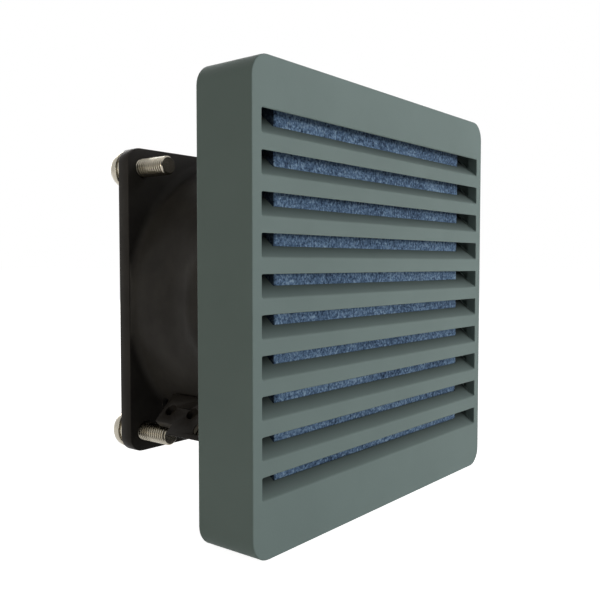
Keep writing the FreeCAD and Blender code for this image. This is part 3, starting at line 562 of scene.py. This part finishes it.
def cover_rule(tree, given):
    past = 1 * MM
    front, back = face_levels(tree, given)
    outer = rounded_prism(tree, given["Width"], given["Corner"], front, 0.0)
    inner_width = tree.minus(given["Width"], tree.scaled(given["Wall"], 2.0))
    inner_corner = tree.minus(given["Corner"], given["Wall"])
    hollow = rounded_prism(tree, inner_width, inner_corner, back, past)
    # One box per slot, in a column centred on the field, then sheared so that it rises inwards.
    slot = box(tree, given["Slot Length"], tree.plus(given["Face"], 2 * past), given["Slot Height"])
    spans = tree.scaled(tree.minus(given["Slots"], 1.0), 0.5)
    lowest = tree.minus(given["Field Shift"], tree.scaled(spans, given["Slot Pitch"]))
    middle = tree.plus(front, tree.scaled(given["Face"], 0.5))
    first, step = tree.vector(Y=middle, Z=lowest), tree.vector(Z=given["Slot Pitch"])
    column = tree.out("GeometryNodeMeshLine", Count=given["Slots"], Start_Location=first, Offset=step)
    slots = sheared(tree, copies(tree, column, slot), front, given["Slot Slope"])
    return cut_from(tree, outer, hollow, slots)


# %% Grow the cover's face and its arms
ARM_ROOT = 0.5 * MM
cover_face = grown("cover_face", cover_rule, COVER, cover_plastic)


def arm_rule(tree, given):
    rooted = tree.minus(face_levels(tree, given)[1], ARM_ROOT)
    reach = tree.scaled(given["Arm End"], -1.0)
    arm = box(tree, given["Arm Width"], tree.minus(reach, rooted), given["Arm Wall"])
    level = tree.plus(given["Arm Level"], tree.scaled(given["Arm Wall"], 0.5))
    points = upright_grid(tree, tree.scaled(given["Arm Shift"], 2.0), tree.scaled(level, 2.0),
                          Y=tree.scaled(tree.plus(reach, rooted), 0.5))
    return copies(tree, points, arm)


cover_arms = grown("cover_arms", arm_rule, COVER, cover_plastic)


# %% [markdown]
# At both ends of the slots, beside the mat, the slats run on behind the face as short deep ribs,
# which keep the mat in the middle. They continue each slat's slope, so the same shear serves again.
# Each is rooted a little in the face and in the side wall. Then all parts of the cover are joined,
# and their edges rounded.

# %% The ribs beside the mat
RIB_ROOT = 0.3 * MM
RIB_PLAY = 0.06 * MM
RIB_IN_WALL = 0.02


def rib_rule(tree, given):
    front, back = face_levels(tree, given)
    start = tree.minus(back, RIB_ROOT)
    length = tree.plus(given["Rib Depth"], RIB_ROOT)
    slat = tree.minus(given["Slot Pitch"], given["Slot Height"])
    rib = box(tree, given["Rib Width"], length, tree.minus(slat, RIB_PLAY))
    wall = tree.minus(tree.scaled(given["Width"], 0.5), given["Wall"])
    side = tree.minus(wall, tree.scaled(given["Rib Width"], 0.5 - RIB_IN_WALL))
    points = upright_grid(tree, tree.scaled(side, 2.0), tree.scaled(given["Slots"], given["Slot Pitch"]),
                          tree.plus(given["Slots"], 1.0),
                          Y=tree.plus(start, tree.scaled(length, 0.5)), Z=given["Field Shift"])
    return sheared(tree, copies(tree, points, rib), front, given["Slot Slope"])


cover_ribs = grown("cover_ribs", rib_rule, COVER, cover_plastic)
cover = edge_rounded(joined("louvred_cover", [cover_face, cover_arms, cover_ribs]), 0.25 * MM)
mounted(cover, "cover", "cover_plastic", "cover")

# %% [markdown]
# The filter mat lies right behind the cover's face. It is cut from soft felt, so its rim is nearly
# square and its faces are gently uneven. A fine sheet of points is pushed in and out by noise, and a
# geometry tree then scatters a few thousand short bent fibres over the front, half sunk into it, as
# the real needled felt shows them. In the photograph it lies a touch high and to the right.

# %% The mat's body
MAT_LOW, MAT_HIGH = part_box("filter_mat")
MAT_STEPS = 84
MAT_HALF = MAT_HIGH.x + 0.2 * MM
MAT_ROUND = 0.3 * MM
MAT_LIFT = 0.45 * MM
MAT_SHIFT = 0.5 * MM
MAT_TALLER = 0.45 * MM
MAT_SINK = 0.08 * MM
LUMP_SIZE, LUMP_HEIGHT = 2.2 * MM, 0.18 * MM
WAVE_SIZE, WAVE_HEIGHT = 11 * MM, 0.2 * MM
DEEPEST, HIGHEST = -0.3 * MM, 0.06 * MM


def mat_place(step):
    """Even steps across the mat, and a narrow last one at each side for the rim."""
    if step in (0, MAT_STEPS):
        return math.copysign(MAT_HALF, step - 1)
    return (2 * (step - 1) / (MAT_STEPS - 2) - 1) * (MAT_HALF - MAT_ROUND)


def mat_body():
    """A pad whose faces are uneven and whose cut rim is nearly square, closed all round."""
    shape = bmesh.new()
    thick = MAT_HIGH.y - MAT_LOW.y
    middle = (MAT_HIGH.y + MAT_LOW.y) / 2
    rows = {}
    for side in (-1, 1):
        for i in range(MAT_STEPS + 1):
            for j in range(MAT_STEPS + 1):
                x, z = mat_place(i), mat_place(j)
                full = 0 if {i, j} & {0, MAT_STEPS} else 1
                level = thick / 2 - MAT_SINK - (1 - full) * MAT_ROUND
                lumps = field.noise(Vector((x, side, z)) / LUMP_SIZE) * LUMP_HEIGHT
                waves = field.noise(Vector((x, 5 * side, z)) / WAVE_SIZE) * WAVE_HEIGHT
                y = middle + side * (level + full * max(DEEPEST, min(HIGHEST, lumps + waves)))
                tall = z * (1 + MAT_TALLER / MAT_HALF) + MAT_LIFT
                rows[side, i, j] = shape.verts.new((x + MAT_SHIFT, y, tall))
    for side in (-1, 1):
        for i in range(MAT_STEPS):
            for j in range(MAT_STEPS):
                shape.faces.new([rows[side, i, j], rows[side, i + 1, j],
                                 rows[side, i + 1, j + 1], rows[side, i, j + 1]])
    last = MAT_STEPS
    rim = [(i, 0) for i in range(last)] + [(last, j) for j in range(last)]
    rim += [(last - i, last) for i in range(last)] + [(0, last - j) for j in range(last)]
    for here, there in zip(rim, rim[1:] + rim[:1]):
        shape.faces.new([rows[-1, *here], rows[-1, *there], rows[1, *there], rows[1, *here]])
    return plain("filter_pad", shape, fibre_blue)


pad = mat_body()


# %% The fibres on the mat's front face
FIBRE_SWEEP = math.radians(75)
FIBRE_TILT = 0.12
SHORTEST, LONGEST = 0.5, 1.3


def chance(tree, low, high, seed):
    """A random turn between two sets of angles, for each copy."""
    angles = tree.out("FunctionNodeRandomValue", {"data_type": "FLOAT_VECTOR"}, Min=low, Max=high, Seed=seed)
    return tree.out("FunctionNodeEulerToRotation", Euler=angles)


def fibre_rule(tree, given):
    towards = tree.part(tree.out("GeometryNodeInputNormal"), "Y")
    front = tree.out("FunctionNodeCompare", {"operation": "LESS_THAN"}, A=towards, B=-0.8)
    points = tree.out("GeometryNodeDistributePointsOnFaces", Mesh=given["Base"], Selection=front,
                      Density=given["Density"], Seed=given["Seed"])
    arc = tree.out("GeometryNodeCurveArc", Resolution=5, Radius=given["Bend"], Start_Angle=0.0,
                   Sweep_Angle=FIBRE_SWEEP)
    ring = tree.out("GeometryNodeCurvePrimitiveCircle", Resolution=3, Radius=given["Radius"])
    strand = tree.out("GeometryNodeCurveToMesh", Curve=arc, Profile_Curve=ring, Fill_Caps=True)
    flat = math.pi / 2
    low, high = (flat - FIBRE_TILT, -FIBRE_TILT, 0.0), (flat + FIBRE_TILT, FIBRE_TILT, 0.0)
    lay = chance(tree, low, high, given["Seed"])
    spin = chance(tree, (0.0, 0.0, 0.0), (0.0, 2 * math.pi, 0.0), 3)
    both = tree.out("FunctionNodeRotateRotation", {"rotation_space": "GLOBAL"}, Rotation=lay, Rotate_By=spin)
    length = tree.add("FunctionNodeRandomValue", {"data_type": "FLOAT"}, Seed=7)
    length.inputs[2].default_value = SHORTEST
    length.inputs[3].default_value = LONGEST
    whole = tree.add("GeometryNodeJoinGeometry")
    for geometry in (copies(tree, points, strand, Rotation=both, Scale=length.outputs[1]), given["Base"]):
        tree.tree.links.new(geometry, whole.inputs[0])
    return whole.outputs[0]


fibres = {"Density": 420000.0, "Radius": 0.045 * MM, "Bend": 1.7 * MM, "Seed": 11}
mat = grown("filter_felt", fibre_rule, fibres, fibre_blue, pad)
smoothed(mat, 60)
mounted(mat, "frame", "filter_fibre", "filter_mat")

# %% [markdown]
# The fan's housing is one casting: a barrel between two square flanges, flared into the corners at
# the inlet. Every section through the fan's axis has the same outline with other radii, so the
# outline is written once, as rings from the inlet round the outside to the outlet and back along
# the duct, and each ring finds its radius for each angle. Small steps at the corners of the
# outline round the edges and fill the foot of the barrel: an edge's middle ring lies in by the share
# BEND of its size, as on an arc. A tree then drills the screw holes.

# %% The housing's outline
FAN_LOW, FAN_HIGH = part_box("fan_housing")
HALF = 40 * MM
CORNER = 4 * MM
DUCT = 37.9 * MM
BARREL = 39.3 * MM
FLANGE = 4 * MM
FLARE_END = 19.5 * MM
FLARE_SLOPE = 0.34
RIM_WALL = 1.4 * MM
EDGE = 0.25 * MM
BEND = 0.29
FOOT = 0.3 * MM
REAR_FOOT = 2.2 * MM
SLIVER = 0.01 * MM
FLARE_PLACES = (9.4, 11.5, 13.5, 15.5, 17.5, 19.5)


def square_reach(angle, half, corner):
    """How far a square with round corners reaches from its middle, at an angle."""
    a = max(abs(math.cos(angle)), abs(math.sin(angle)))
    b = min(abs(math.cos(angle)), abs(math.sin(angle)))
    straight = half / a
    centre = half - corner
    if straight * b <= centre:
        return straight
    total = centre * (a + b)
    return total + math.sqrt(max(0, total ** 2 - 2 * centre ** 2 + corner ** 2))


def flare(place):
    return FLARE_SLOPE * max(0, FLARE_END - place)


def rim(inset):
    return lambda angle: square_reach(angle, HALF - inset, CORNER - inset)


def outside(place, more=0.0):
    return lambda angle: min(BARREL + flare(place) + more, rim(EDGE if more else 0)(angle))


def inside(place, more=0.0):
    def reach(angle):
        return min(DUCT + flare(place), square_reach(angle, HALF - RIM_WALL, CORNER)) + more
    return reach


def edge_rings(place, inwards):
    """Three rings that round a flange's edge: from its face towards the flange's middle."""
    bend = BEND * EDGE
    return [(rim(EDGE), place), (rim(bend), place + inwards * bend), (rim(0), place + inwards * EDGE)]


def housing_rings():
    inlet, outlet = FAN_LOW.y, FAN_HIGH.y
    front, rear = inlet + FLANGE, outlet - FLANGE
    bend = BEND * EDGE
    rings = [(inside(inlet, EDGE), inlet)] + edge_rings(inlet, 1) + edge_rings(front, -1)[::-1]
    rings += [(outside(front, FOOT), front), (outside(front, BEND * FOOT), front + BEND * FOOT)]
    for place in FLARE_PLACES + (24, 29, 34):
        rings.append((outside(place * MM), place * MM))
    for turn in range(0, 91, 15):
        angle = math.radians(turn)
        more = REAR_FOOT * (1 - math.cos(angle))
        rings.append((outside(rear, max(more, SLIVER)), rear - REAR_FOOT * (1 - math.sin(angle))))
    rings += edge_rings(rear, 1) + edge_rings(outlet, -1)[::-1]
    rings += [(inside(outlet, EDGE), outlet), (inside(outlet, bend), outlet - bend),
              (inside(outlet), outlet - EDGE)]
    for place in (36, 28) + FLARE_PLACES[::-1] + (7,):
        rings.append((inside(place * MM), place * MM))
    rings += [(inside(inlet), inlet + EDGE), (inside(inlet, bend), inlet + bend)]
    return rings


def corner_angles():
    """Angles all round: every 2 degrees, and every 0.75 within 3 degrees of the flange's corners."""
    angles = []
    for quarter in range(4):
        start = -42 + 90 * quarter
        angles += [start + 2 * step for step in range(42)]
        angles += [start + 84 + 0.75 * step for step in range(8)]
    return [math.radians(angle) for angle in angles]


def ring_of(shape, reach, place, angles):
    """A ring of points round the axis, whose radius may depend on the angle."""
    return [shape.verts.new((reach(angle) * math.cos(angle), place, reach(angle) * math.sin(angle)))
            for angle in angles]


def quads(shape, rows, closed=True):
    """Faces between neighbouring rows of points. A closed row goes on from its last point to its first."""
    for row, below in zip(rows, rows[1:]):
        for i in range(len(row) if closed else len(row) - 1):
            j = (i + 1) % len(row)
            shape.faces.new([row[i], row[j], below[j], below[i]])


def turned_rings(shape, rings, angles):
    """Joins closed rings of points, and the last ring to the first."""
    rows = [ring_of(shape, reach, place, angles) for reach, place in rings]
    quads(shape, rows + rows[:1])


# %% Cast the housing and drill its screw holes
SCREW_HALF = 34.85 * MM
housing_shape = bmesh.new()
turned_rings(housing_shape, housing_rings(), corner_angles())
undrilled = plain("undrilled_housing", housing_shape, black_casting)


def drill_rule(tree, given):
    bit = tree.out("GeometryNodeMeshCylinder", Vertices=40, Radius=given["Hole Radius"],
                   Depth=given["Depth"])
    spacing = tree.scaled(given["Half Spacing"], 2.0)
    grid = tree.out("GeometryNodeMeshGrid", Size_X=spacing, Size_Y=spacing, Vertices_X=2, Vertices_Y=2)
    holes = tree.out("GeometryNodeRealizeInstances", Geometry=copies(tree, grid, bit))
    upright = tree.out("GeometryNodeTransform", Geometry=holes, Rotation=(math.pi / 2, 0, 0),
                       Translation=tree.vector(Y=given["Middle"]))
    return cut_from(tree, given["Base"], upright)


drill = {"Hole Radius": 2.65 * MM, "Half Spacing": SCREW_HALF, "Depth": 60 * MM, "Middle": 23.4 * MM}
housing = grown("cast_housing", drill_rule, drill, black_casting, undrilled)
smoothed(housing, 32)
mounted(housing, "frame", "black_casting", "fan_housing")

# %% [markdown]
# The motor hangs in the outlet on four struts. Its base is a turned disc with a low rim and a
# shallow, bare recess round the bearing's cap. One strut is made with rounded edges, and a tree turns
# copies of it round the axis. The strut narrows towards the fan's front.

# %% The rule that repeats a piece round the fan's axis
def ring_rule(tree, given):
    points = tree.out("GeometryNodeMeshLine", Count=given["Count"], Offset=(0, 0, 0))
    share = tree.maths("DIVIDE", tree.out("GeometryNodeInputIndex"), given["Count"])
    angle = tree.plus(tree.scaled(share, 2 * math.pi), given["Start Angle"])
    turn = tree.out("FunctionNodeEulerToRotation", Euler=tree.vector(Y=angle))
    return copies(tree, points, given["Base"], Rotation=turn)


# %% The motor's base and struts
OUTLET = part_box("motor_spider")[1].y
BASE_PROFILE = ((6.25, 2.5), (18.2, 2.5), (18.5, 2.8), (18.5, 6.0), (20.0, 6.0), (20.0, 0.4),
                (19.88, 0.12), (19.6, 0), (17.4, 0), (17.1, 0.12), (16.9, 0.45), (7.6, 0.45), (7.4, 0.12),
                (7.1, 0), (6.5, 0), (6.25, 0.25))
STRUT_START = 19.1 * MM
STRUT_LENGTH = 19.0 * MM
STRUT_DEPTH = 4.1 * MM
STRUT_WIDTH = 4 * MM
STRUT_SINK = 0.08 * MM
STRUT_TAPER = 0.72


def circle(radius):
    return lambda angle: radius


def motor_base():
    rings = [(circle(radius * MM), OUTLET - depth * MM) for radius, depth in BASE_PROFILE]
    shape = bmesh.new()
    turned_rings(shape, rings, [math.radians(3 * step) for step in range(120)])
    return plain("motor_base", shape, black_casting)


def strut():
    shape = bmesh.new()
    bmesh.ops.create_cube(shape, size=1)
    bmesh.ops.scale(shape, verts=shape.verts, vec=(STRUT_LENGTH, STRUT_DEPTH, STRUT_WIDTH))
    middle = (STRUT_START + STRUT_LENGTH / 2, OUTLET - STRUT_SINK - STRUT_DEPTH / 2, 0)
    bmesh.ops.translate(shape, verts=shape.verts, vec=middle)
    for vertex in shape.verts:
        if vertex.co.y < OUTLET - STRUT_DEPTH / 2:
            vertex.co.z *= STRUT_TAPER
    return edge_rounded(plain("strut", shape, black_casting), 0.5 * MM, 3)


struts = grown("struts", ring_rule, {"Count": 4, "Start Angle": math.pi / 4}, black_casting, strut())
spider = smoothed(joined("motor_spider_cast", [motor_base(), struts]), 34)
mounted(spider, "frame", "black_casting", "motor_spider")

# %% [markdown]
# Screws. A thread that is only painted on looks false at the tip and against the light, so it is
# modelled: four rows of points for each turn follow the helix, two on the crest and two in the
# root, and the rows are held back to a chamfer at the tip. One screw is made on the axis, with a pan
# head and a cross recess, and a tree sets it down at the fan's four corners, each turned at random
# as a fitter leaves them.

# %% A threaded bar
THREAD = 2.45 * MM
THREAD_PITCH = 0.8 * MM
THREAD_DEPTH = 0.5 * MM
THREAD_CHAMFER = 0.35 * MM
THREAD_STEPS = 36
THREAD_ROWS = ((0.0, 0), (0.28, 0), (0.6, 1), (0.68, 1))


def threaded_bar(shape, low, high):
    """A right-handed thread along Y with a chamfered tip at its low end."""
    turns = math.ceil((high - low) / THREAD_PITCH) + 2
    grid = []
    for turn in range(turns):
        for share, deep in THREAD_ROWS:
            row = []
            for step in range(THREAD_STEPS + 1):
                angle = 2 * math.pi * step / THREAD_STEPS
                place = low + THREAD_PITCH * (turn + share + step / THREAD_STEPS - 1)
                place = max(low, min(high, place))
                tip = THREAD - THREAD_CHAMFER + (place - low)
                radius = min(THREAD - deep * THREAD_DEPTH, tip)
                row.append(shape.verts.new((radius * math.cos(angle), place, -radius * math.sin(angle))))
            grid.append(row)
    quads(shape, grid, closed=False)
    bmesh.ops.remove_doubles(shape, verts=shape.verts, dist=1e-6)
    rim_edges = [edge for edge in shape.edges if edge.is_boundary]
    bmesh.ops.holes_fill(shape, edges=rim_edges, sides=0)


# %% Turned shapes and the cross recess
def lathe(shape, profile, steps=48):
    """A closed turned solid along Y, from a profile of (radius, place) that starts and ends on the axis."""
    angles = [2 * math.pi * i / steps for i in range(steps)]
    rings = [ring_of(shape, circle(radius), place, angles) for radius, place in profile[1:-1]]
    for ring, (radius, place) in ((rings[0], profile[0]), (rings[-1], profile[-1])):
        tip = shape.verts.new((radius, place, 0))
        for i in range(steps):
            shape.faces.new([tip, ring[i], ring[(i + 1) % steps]])
    quads(shape, rings)


def cross_rule(tree, given):
    deep = tree.scaled(given["Depth"], 2.0)
    place = tree.vector(Y=given["Level"])
    bars = []
    for across, tall in (("Length", "Width"), ("Width", "Length")):
        bar = box(tree, given[across], deep, given[tall])
        bars.append(tree.out("GeometryNodeTransform", Geometry=bar, Translation=place))
    return cut_from(tree, given["Base"], *bars)


HEAD_PROFILE = ((0, 0), (4.2, 0), (4.2, 0.4), (4.8, 0.5), (5, 0.7), (5, 1.5), (4.86, 2.25), (4.45, 2.9),
                (3.8, 3.35), (2.9, 3.66), (1.8, 3.8), (0, 3.8))
HEAD_HEIGHT = 3.8 * MM
BAR_IN_HEAD = 0.3 * MM


def pan_screw(name, seat, length):
    """One screw on the axis, its head beyond the seat towards +Y."""
    head_shape = bmesh.new()
    lathe(head_shape, [(radius * MM, seat + place * MM) for radius, place in HEAD_PROFILE])
    head = plain(name + "_head", head_shape, screw_steel)
    cross = {"Length": 5.2 * MM, "Width": 1.25 * MM, "Depth": 2 * MM, "Level": seat + HEAD_HEIGHT}
    cut_head = grown(name + "_cut_head", cross_rule, cross, screw_steel, head)
    bar_shape = bmesh.new()
    threaded_bar(bar_shape, seat - length, seat + BAR_IN_HEAD)
    bar = plain(name + "_bar", bar_shape, screw_steel)
    return joined(name, [cut_head, bar])


# %% The rule that sets a piece down at the four corners
def corner_rule(tree, given):
    spacing = tree.scaled(given["Half Spacing"], 2.0)
    points = upright_grid(tree, spacing, spacing)
    share = tree.add("FunctionNodeRandomValue", {"data_type": "FLOAT"}, Seed=given["Seed"]).outputs[1]
    angle = tree.vector(Y=tree.scaled(share, given["Turn"]))
    turn = tree.out("FunctionNodeEulerToRotation", Euler=angle)
    return copies(tree, points, given["Base"], Rotation=turn)


def at_corners(name, single, finish, seed, turn=2 * math.pi):
    sizes = {"Half Spacing": SCREW_HALF, "Turn": turn, "Seed": seed}
    return smoothed(grown(name, corner_rule, sizes, finish, single), 40)


REAR_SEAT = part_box("lock_washers")[1].y
REAR_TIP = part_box("rear_screws")[0].y
rear_single = pan_screw("rear_screw", REAR_SEAT, REAR_SEAT - REAR_TIP)
rear = at_corners("rear_pan_screws", rear_single, screw_steel, 4)
mounted(rear, "frame", "screw_steel", "rear_screws")

FRONT_HEAD, FRONT_TIP = (corner.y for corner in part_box("front_screws"))
front_seat = FRONT_HEAD + HEAD_HEIGHT
front_single = pan_screw("front_screw", 0.0, FRONT_TIP - front_seat)
front_single.data.transform(Matrix.Translation((0, front_seat, 0)) @ Matrix.Rotation(math.pi, 4, "X"))
front = at_corners("front_pan_screws", front_single, screw_steel, 9)
mounted(front, "frame", "screw_steel", "front_screws")

# %% [markdown]
# Under each rear head lies a split spring washer: a ring of square wire with one slanting gap,
# which the screw has pressed flat. Its edges are well rounded, and they catch the brightest light
# of all. The nuts in front are plain hexagons whose corners were chamfered in a lathe, so each
# ring of points is held back to a cone near both faces.

# %% Spring washers
WASHER_IN = 2.6 * MM
WASHER_OUT = 4.6 * MM
WASHER_ROUND = 0.25 * MM
WASHER_GAP = 0.24
WASHER_SLANT = 0.16
WASHER_STEPS = 56


def split_ring(low, high):
    shape = bmesh.new()
    full = WASHER_ROUND
    bend = 0.3 * full
    wire = [(WASHER_IN, low + full), (WASHER_IN + full, low), (WASHER_OUT - full, low),
            (WASHER_OUT - bend, low + bend), (WASHER_OUT, low + full), (WASHER_OUT, high - full),
            (WASHER_OUT - bend, high - bend), (WASHER_OUT - full, high), (WASHER_IN + full, high),
            (WASHER_IN, high - full)]
    rows = []
    for step in range(WASHER_STEPS + 1):
        row = []
        for radius, place in wire:
            slant = WASHER_SLANT * (place - low) / (high - low)
            angle = WASHER_GAP / 2 + slant + (2 * math.pi - WASHER_GAP) * step / WASHER_STEPS
            row.append(shape.verts.new((radius * math.cos(angle), place, radius * math.sin(angle))))
        rows.append(row)
    quads(shape, rows)
    shape.faces.new(rows[0])
    shape.faces.new(rows[-1])
    return plain("spring_washer", shape, spring_steel)


washer_low, washer_high = (corner.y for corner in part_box("lock_washers"))
washers = at_corners("spring_washers", split_ring(washer_low, washer_high), spring_steel, 21)
mounted(washers, "frame", "spring_steel", "lock_washers")

# %% Nuts
NUT_CORNER = 4.62 * MM
NUT_CHAMFER = 4.1 * MM
NUT_BORE = 2.5 * MM
NUT_SLOPE = 0.3 * MM


def hexagon(limit):
    def reach(angle):
        turn = math.radians((math.degrees(angle) + 30) % 60 - 30)
        return min(limit, NUT_CORNER * math.cos(math.radians(30)) / math.cos(turn))
    return reach


nut_low, nut_high = (corner.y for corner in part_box("flange_nuts"))
nut_rings = [(circle(NUT_BORE), nut_low), (hexagon(NUT_CHAMFER), nut_low),
             (hexagon(NUT_CORNER), nut_low + NUT_SLOPE), (hexagon(NUT_CORNER), nut_high - NUT_SLOPE),
             (hexagon(NUT_CHAMFER), nut_high), (circle(NUT_BORE), nut_high)]
nut_shape = bmesh.new()
turned_rings(nut_shape, nut_rings, [math.radians(angle) for angle in range(0, 360, 5)])
nuts = at_corners("hexagon_nuts", plain("nut", nut_shape, nut_steel), nut_steel, 2, math.pi / 3)
mounted(nuts, "frame", "screw_steel", "flange_nuts")

# %% [markdown]
# The remaining moulded and cast parts have the right shape already, but their edges are knife-sharp,
# and no mould or die leaves such an edge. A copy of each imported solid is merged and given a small
# bevel on every outer edge that turns sharply. The tiny strips catch the light and draw the outline.
# Inner edges stay as they are, because a fillet there would fill the room that the pawls swing in.

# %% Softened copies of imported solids
SHARP_TURN = math.radians(40)


def softened(node, finish, slot, body="frame", width=0.2 * MM):
    shape = bmesh.new()
    shape.from_mesh(NODES[node].data)
    bmesh.ops.remove_doubles(shape, verts=shape.verts, dist=1e-6)
    weight = shape.edges.layers.float.new("bevel_weight_edge")
    for edge in shape.edges:
        if len(edge.link_faces) == 2 and edge.calc_face_angle_signed() > SHARP_TURN:
            edge[weight] = 1.0
    piece = piece_of(node + "_soft", shape, [finish])
    bevelled(piece, width, 2, "WEIGHT").use_clamp_overlap = False
    frozen(piece)
    mounted(piece, body, slot, node)
    print(node, "softened,", len(piece.data.polygons), "faces")


softened("terminal_block", terminal_plastic, "terminal_plastic", width=0.15 * MM)
softened("base_frame", frame_plastic, "frame_plastic")
for side in ("right", "bottom", "left", "top"):
    softened(f"panel_pawl_{side}", pawl_plastic, "pawl_plastic", f"pawl_{side}", 0.12 * MM)

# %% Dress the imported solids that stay
dressed(frame_plastic, "finger_guard", "filter_grid")
dressed(gasket_foam, "panel_gasket")
dressed(brass, "bearing_tube")
dressed(shaded_contact_metal, "terminal_inserts", "terminal_screws")
dressed(bearing_steel, "front_bearing", "rear_bearing", "shaft")
dressed(spring_steel, "preload_spring", "retaining_clip")
dressed(cap_plastic, "bearing_cap")
dressed(lamination_steel, "stator_core")
dressed(bobbin_nylon, "coil_bobbins")
dressed(copper_winding, "stator_coils")
dressed(cup_steel, "rotor_cup")
dressed(cage_aluminium, "rotor_cage")
dressed(impeller_plastic, "impeller")
dressed(lead_insulation, "motor_leads")
print("every packed solid that stays has its finish")

# %% [markdown]
# Light. The photograph is a studio picture on pure white. The key light comes level from the front
# and the right, because each slot's floor is darker than the front and only the top of the felt
# lies in shadow. A lamp near the upper right lifts that side, a warm one lights the left, a faint
# one in front reaches into the slots' right ends, and one behind shows the rear. A white world at
# full strength would wash out the black fan, so only what the camera, a reflection or a clear part
# sees is fully white, and the light that falls on surfaces is dimmer. The floor does the same and
# so keeps a faint shadow.

# %% Lamps
KEY_POWER = 1.24
KEY_SPREAD = 0.3
KEY_AIM = Vector((-0.42, 0.9, -0.02))
sun = bpy.data.lights.new("key", "SUN")
sun.energy = KEY_POWER
sun.angle = KEY_SPREAD
placed("key", sun).rotation_euler = KEY_AIM.to_track_quat("-Z", "Y").to_euler()


def soft_box(name, place, size, power, tint):
    """A square lamp that faces the fan."""
    data = bpy.data.lights.new(name, "AREA")
    data.size = size
    data.energy = power
    data.color = tint
    lamp = placed(name, data)
    lamp.location = place
    lamp.rotation_euler = (-lamp.location).to_track_quat("-Z", "Y").to_euler()


soft_box("side_fill", (-0.95, 0.12, 0.0), 0.3, 2.0, (1.0, 0.92, 0.74))
soft_box("upper_lift", (0.28, -0.42, 0.22), 0.3, 1.15, (1.0, 1.0, 1.0))
soft_box("front_left", (-0.21, -0.86, 0.08), 0.3, 1.0, (1.0, 1.0, 0.98))
soft_box("rear_room", (0.3, 0.9, 0.4), 0.6, 5.0, (1.0, 0.98, 0.95))
print(len(bpy.data.lights), "lamps")


# %% White surroundings
def white_sight(tree):
    """1 for a ray from the camera, a reflection or a clear part, otherwise 0."""
    path = tree.add("ShaderNodeLightPath").outputs
    seen = tree.maths("MAXIMUM", path["Is Camera Ray"], path["Is Glossy Ray"])
    return tree.maths("MAXIMUM", seen, path["Is Transmission Ray"])


WORLD_LIGHT = 0.08
world = bpy.data.worlds.new("white_room")
bpy.context.scene.world = world
sky = cleared(world)
strength = spread(sky, white_sight(sky), WORLD_LIGHT, 1.0)
room = sky.out("ShaderNodeBackground", Color=(1, 1, 1, 1), Strength=strength)
sky.add("ShaderNodeOutputWorld", Surface=room)
print("world:", world.name)

# %% Pale floor
FLOOR_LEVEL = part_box("cover")[0].z - 0.05 * MM
FLOOR_GLOW = 0.93
floor_shape = bmesh.new()
bmesh.ops.create_grid(floor_shape, x_segments=1, y_segments=1, size=8)
bmesh.ops.translate(floor_shape, verts=floor_shape.verts, vec=(0, 0, FLOOR_LEVEL))
pale = bpy.data.materials.new("pale_floor")
ground = cleared(pale)
matt = ground.out("ShaderNodeBsdfDiffuse", Color=(0.8, 0.8, 0.8, 1))
glow = ground.out("ShaderNodeEmission", Color=(1, 1, 1, 1),
                  Strength=ground.scaled(white_sight(ground), FLOOR_GLOW))
both_lights = ground.add("ShaderNodeAddShader")
for i, light in enumerate((matt, glow)):
    ground.tree.links.new(light, both_lights.inputs[i])
ground.add("ShaderNodeOutputMaterial", Surface=both_lights.outputs[0])
floor = plain("floor", floor_shape, pale)

# %% The view transform
bpy.context.scene.view_settings.view_transform = "Standard"
